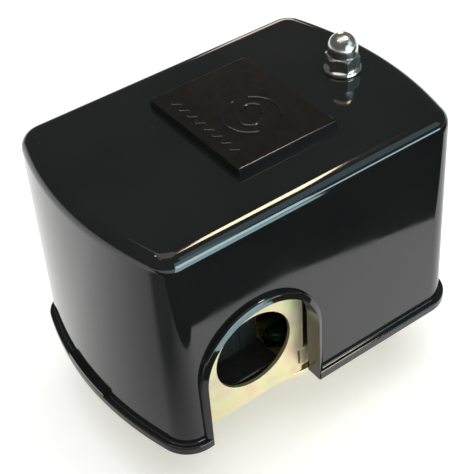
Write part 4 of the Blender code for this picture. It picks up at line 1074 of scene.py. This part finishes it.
def make_carrier():
    """Moving contact carrier on its pin, with two sprung bridges under its arm."""
    low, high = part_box("contact_carrier")
    pin_low, pin_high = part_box("carrier_pin")
    pin_x, _, pin_z = centre_of("carrier_pin")
    w = high.y
    outline = [(low.x, -w), (pin_x, -w), (pin_x, -ARM_NECK), (high.x, -ARM_NECK)]
    outline += [(high.x, ARM_NECK), (pin_x, ARM_NECK), (pin_x, w), (low.x, w)]
    outline = rounded(outline, [0.001, 0, 0.001, 0.0008, 0.0008, 0.001, 0, 0.001], 5, True)
    arm = plate("arm", [outline], pin_z - ARM_HALF, pin_z + ARM_HALF, 0.0003)
    piece("carrier_arm", arm, "brown_plastic", "carrier", "contact_carrier")
    tube = [(HUB_RADIUS, -w), (HUB_RADIUS, w), (CARRIER_PIN_HOLE, w), (CARRIER_PIN_HOLE, -w)]
    hub = turned("hub", rounded(tube, 0.0003, 4, True), steps=48)
    hub.transform(Matrix.Translation((pin_x, 0, pin_z)) @ Matrix.Rotation(-math.pi / 2, 4, "X"))
    piece("carrier_hub", hub, "brown_plastic", "carrier", "contact_carrier")
    tail = rounded(rectangle(TAIL_X[0], low.z, TAIL_X[1], pin_z), [0.0008, 0.0008, 0, 0], 5, True)
    mesh = upright_plate("tail", [tail], -TAIL_HALF, TAIL_HALF, edge=0.0004)
    piece("carrier_tail", mesh, "brown_plastic", "carrier", "contact_carrier")
    pin = rod("pin", (pin_x, pin_low.y, pin_z), (pin_x, pin_high.y, pin_z), CARRIER_PIN, 0.0003, 40)
    piece("carrier_pin_body", pin, "steel", "root", "carrier_pin")
    poles = [spot(name)[1] for name in TERMINAL_SCREWS]
    for i in (1, 2):
        low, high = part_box(f"contact_bridge_{i}")
        x, y, _ = centre_of(f"contact_bridge_{i}")
        bar_low = high.z - BRIDGE_SHEET
        post = rod("post", (x, y, bar_low - 0.0005), (x, y, pin_z), 0.0010, 0.0002, 32)
        piece(f"bridge_post_{i}", post, "brown_plastic", "carrier", "contact_carrier")
        outline = rounded(rectangle(low.x, low.y, high.x, high.y), 0.0012, 6, True)
        bar = plate("bridge", [outline, circle(x, y, 0.0013, 32)], bar_low, high.z, 0.00015)
        piece(f"contact_bridge_{i}_bar", bar, "brass", "carrier", f"contact_bridge_{i}")
        for side, end in SIDES:
            pole_y = min(poles, key=lambda pole: abs(pole - y - side * BRIDGE_CONTACT_Y))
            profile = [(0.0, bar_low + 0.0004), (0.0014, bar_low + 0.0004), (0.0014, low.z + 0.0003)]
            profile = rounded(profile + [(0.0009, low.z), (0.0, low.z)], [0, 0, 0.0004, 0.0004, 0])
            button = turned("button", profile, (x, pole_y), 40)
            piece(f"moving_contact_{i}_{end}", button, "nickel", "carrier", f"contact_bridge_{i}")
        node = f"bridge_spring_{i}"
        piece(f"{node}_coil", coil("coil", node, BRIDGE_WIRE, 4), "spring_steel", "carrier", node)
    x, _, _, low, high = spot("return_spring")
    wire = coil("coil", "return_spring", RETURN_WIRE, 9)
    spring = piece("return_spring_coil", wire, "spring_steel", "root", "return_spring")
    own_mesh(spring)


make_cover()
make_acorn_nut()
make_base_frame()
make_pressure_side()
make_lever()
make_adjuster("range", RANGE_STUD_RADIUS, RANGE_WIRE, 8, 0.0095)
make_adjuster("differential", SHORT_STUD_RADIUS, SHORT_WIRE, 7, 0.0070)
make_studs()
make_contact_block()
make_terminals()
make_fixings()
make_carrier()

# Camera, lights and floor

camera_data = bpy.data.cameras.new("camera")
camera_data.lens = CAMERA_LENS
camera_data.sensor_width = 36.0
camera_data.clip_start = 0.005
camera_data.clip_end = 20.0
camera = show("camera", camera_data)
axes = Matrix((CAMERA_RIGHT, CAMERA_UP, CAMERA_BACK)).transposed()
camera.matrix_world = Matrix.Translation(CAMERA_PLACE) @ axes.to_4x4()
bpy.context.scene.camera = camera


def glow(name, colour, strength):
    """A surface that only gives off light."""
    surface = bpy.data.materials.new(name)
    surface.use_nodes = True
    tree = surface.node_tree
    tree.nodes.clear()
    light = add_node(tree, "Emission", Color=(*colour, 1.0), Strength=strength)["Emission"]
    add_node(tree, "OutputMaterial", Surface=light)
    return surface


def card(name, corners, colour, strength):
    """A studio card that is seen only in reflections."""
    mesh = bpy.data.meshes.new(name)
    mesh.from_pydata(corners, [], [range(len(corners))])
    mesh.materials.append(glow(name, colour, strength))
    panel = show(name, mesh)
    for ray in ("camera", "diffuse", "shadow", "transmission"):
        setattr(panel, f"visible_{ray}", False)
    return panel


def direction(azimuth, elevation, distance):
    """A point seen from the cover's top at an azimuth from +Y towards +X and an elevation."""
    a = math.radians(azimuth)
    e = math.radians(elevation)
    flat = distance * math.cos(e)
    return (flat * math.sin(a), flat * math.cos(a), TOP + distance * math.sin(e))


def floor_shade():
    """A soft dark patch on the floor at the cover's left, seen only in reflections."""
    x, y, near, far = SHADE
    corners = rectangle(x - far, y - far, x + far, y + far)
    panel = card("floor_shade", [(*corner, SHADE_HEIGHT) for corner in corners], (1.0, 1.0, 1.0), 0.0)
    tree = panel.data.materials[0].node_tree
    distance = tree.nodes.new("ShaderNodeVectorMath")
    distance.operation = "DISTANCE"
    tree.links.new(add_node(tree, "TexCoord")["Object"], distance.inputs[0])
    distance.inputs[1].default_value = (x, y, SHADE_HEIGHT)
    fade = remap(tree, distance.outputs["Value"], (near, far), (0.12, 1.0))
    clear = add_node(tree, "BsdfTransparent")["BSDF"]
    shade = mix(tree, fade, tree.nodes["Emission"].outputs["Emission"], clear)
    tree.links.new(shade, tree.nodes["Material Output"].inputs["Surface"])


def make_floor():
    """A large white floor with the cards that lie on it."""
    form = bmesh.new()
    bmesh.ops.create_circle(form, cap_ends=True, segments=96, radius=4.0)
    mesh = bpy.data.meshes.new("floor")
    form.to_mesh(mesh)
    form.free()
    surface = bpy.data.materials.new("floor")
    surface.use_nodes = True
    shader = surface.node_tree.nodes["Principled BSDF"]
    shader.inputs["Base Color"].default_value = (0.86, 0.86, 0.85, 1.0)
    shader.inputs["Roughness"].default_value = 0.9
    shader.inputs["Emission Color"].default_value = (1.0, 1.0, 0.99, 1.0)
    shader.inputs["Emission Strength"].default_value = 0.30
    mesh.materials.append(surface)
    show("floor", mesh)
    flag = [(-0.60, -0.091), (0.03, -0.089), (0.084, -0.079), (0.9, 0.05), (0.9, -1.8), (0.62, -1.8),
            (0.24, -0.46), (0.10, -0.19), (-0.60, -0.19)]
    card("floor_flag", [(x, y, 0.0006) for x, y in flag], (0.9, 1.0, 1.1), 0.02)
    bright = [(-0.07, -0.19), (0.10, -0.19), (0.24, -0.46), (0.62, -1.8), (-0.27, -1.8)]
    card("floor_glow", [(x, y, 0.0007) for x, y in bright], (0.62, 0.92, 1.0), 6.0)
    floor_shade()


def make_sky():
    """Cards round the object, by their azimuths, elevations, distance, colour and strength."""
    for name, (a0, a1), (e0, e1), distance, colour, strength in (
        ("window", (152, 188), (-4.0, 10.0), 1.2, (0.66, 0.93, 1.0), 11.0),
        ("window_top", (156, 188), (10.0, 30.0), 1.2, (0.62, 0.90, 1.0), 2.0),
        ("window_edge", (140, 152), (-4.0, 4.0), 1.2, (0.62, 0.90, 1.0), 9.0),
        ("window_haze", (128, 159), (18.0, 46.0), 1.3, (0.55, 0.9, 1.0), 1.1),
        ("room", (248, 352), (53.0, 84.0), 1.6, (1.0, 0.96, 0.88), 0.9),
        ("lamp", (78, 117), (57.8, 68.0), 1.0, (1.0, 0.80, 0.56), 26.0),
        ("back_lamp", (29, 42), (9.0, 26.0), 1.0, (1.0, 0.84, 0.66), 5.0),
        ("left_lamp", (-64, -52), (59.0, 65.0), 1.0, (1.0, 0.80, 0.58), 9.0),
    ):
        corners = [direction(*corner, distance) for corner in rectangle(a0, e0, a1, e1)]
        card(name, corners, colour, strength)
    ceiling = [(x, y, TOP + 1.2) for x, y in circle(0.0, 0.0, 0.42, 24)]
    card("ceiling", ceiling, (1.0, 0.97, 0.92), 1.1)


def make_lights():
    """Two round area lights that light matt surfaces only: place, size, power and aim."""
    for name, place, size, power, aim in (
        ("overhead", (0.1, -0.1, 1.3), 1.6, 15.0, (0.0, 0.0, 0.0)),
        ("front_fill", (-0.5, -1.1, 0.5), 0.9, 3.0, (0.0, 0.0, 0.04)),
    ):
        data = bpy.data.lights.new(name, "AREA")
        data.shape = "DISK"
        data.size = size
        data.energy = power
        lamp = show(name, data)
        lamp.location = place
        lamp.rotation_euler = (Vector(aim) - Vector(place)).to_track_quat("-Z", "Y").to_euler()
        lamp.visible_camera = False
        lamp.visible_glossy = False


def make_world():
    """White to the camera, a soft fill on matt surfaces and a dim room in reflections."""
    world = bpy.data.worlds.new("studio")
    bpy.context.scene.world = world
    world.use_nodes = True
    tree = world.node_tree
    tree.nodes.clear()
    ray = add_node(tree, "LightPath")
    levels = []
    for strength in (0.42, 0.10, 1.0):
        level = add_node(tree, "Background", Color=(0.97, 1.0, 1.0, 1.0), Strength=strength)
        levels.append(level["Background"])
    fill, room, seen = levels
    light = mix(tree, ray["Is Glossy Ray"], fill, room)
    add_node(tree, "OutputWorld", Surface=mix(tree, ray["Is Camera Ray"], light, seen))


make_floor()
make_sky()
make_lights()
make_world()
bpy.context.scene.view_settings.view_transform = "Standard"
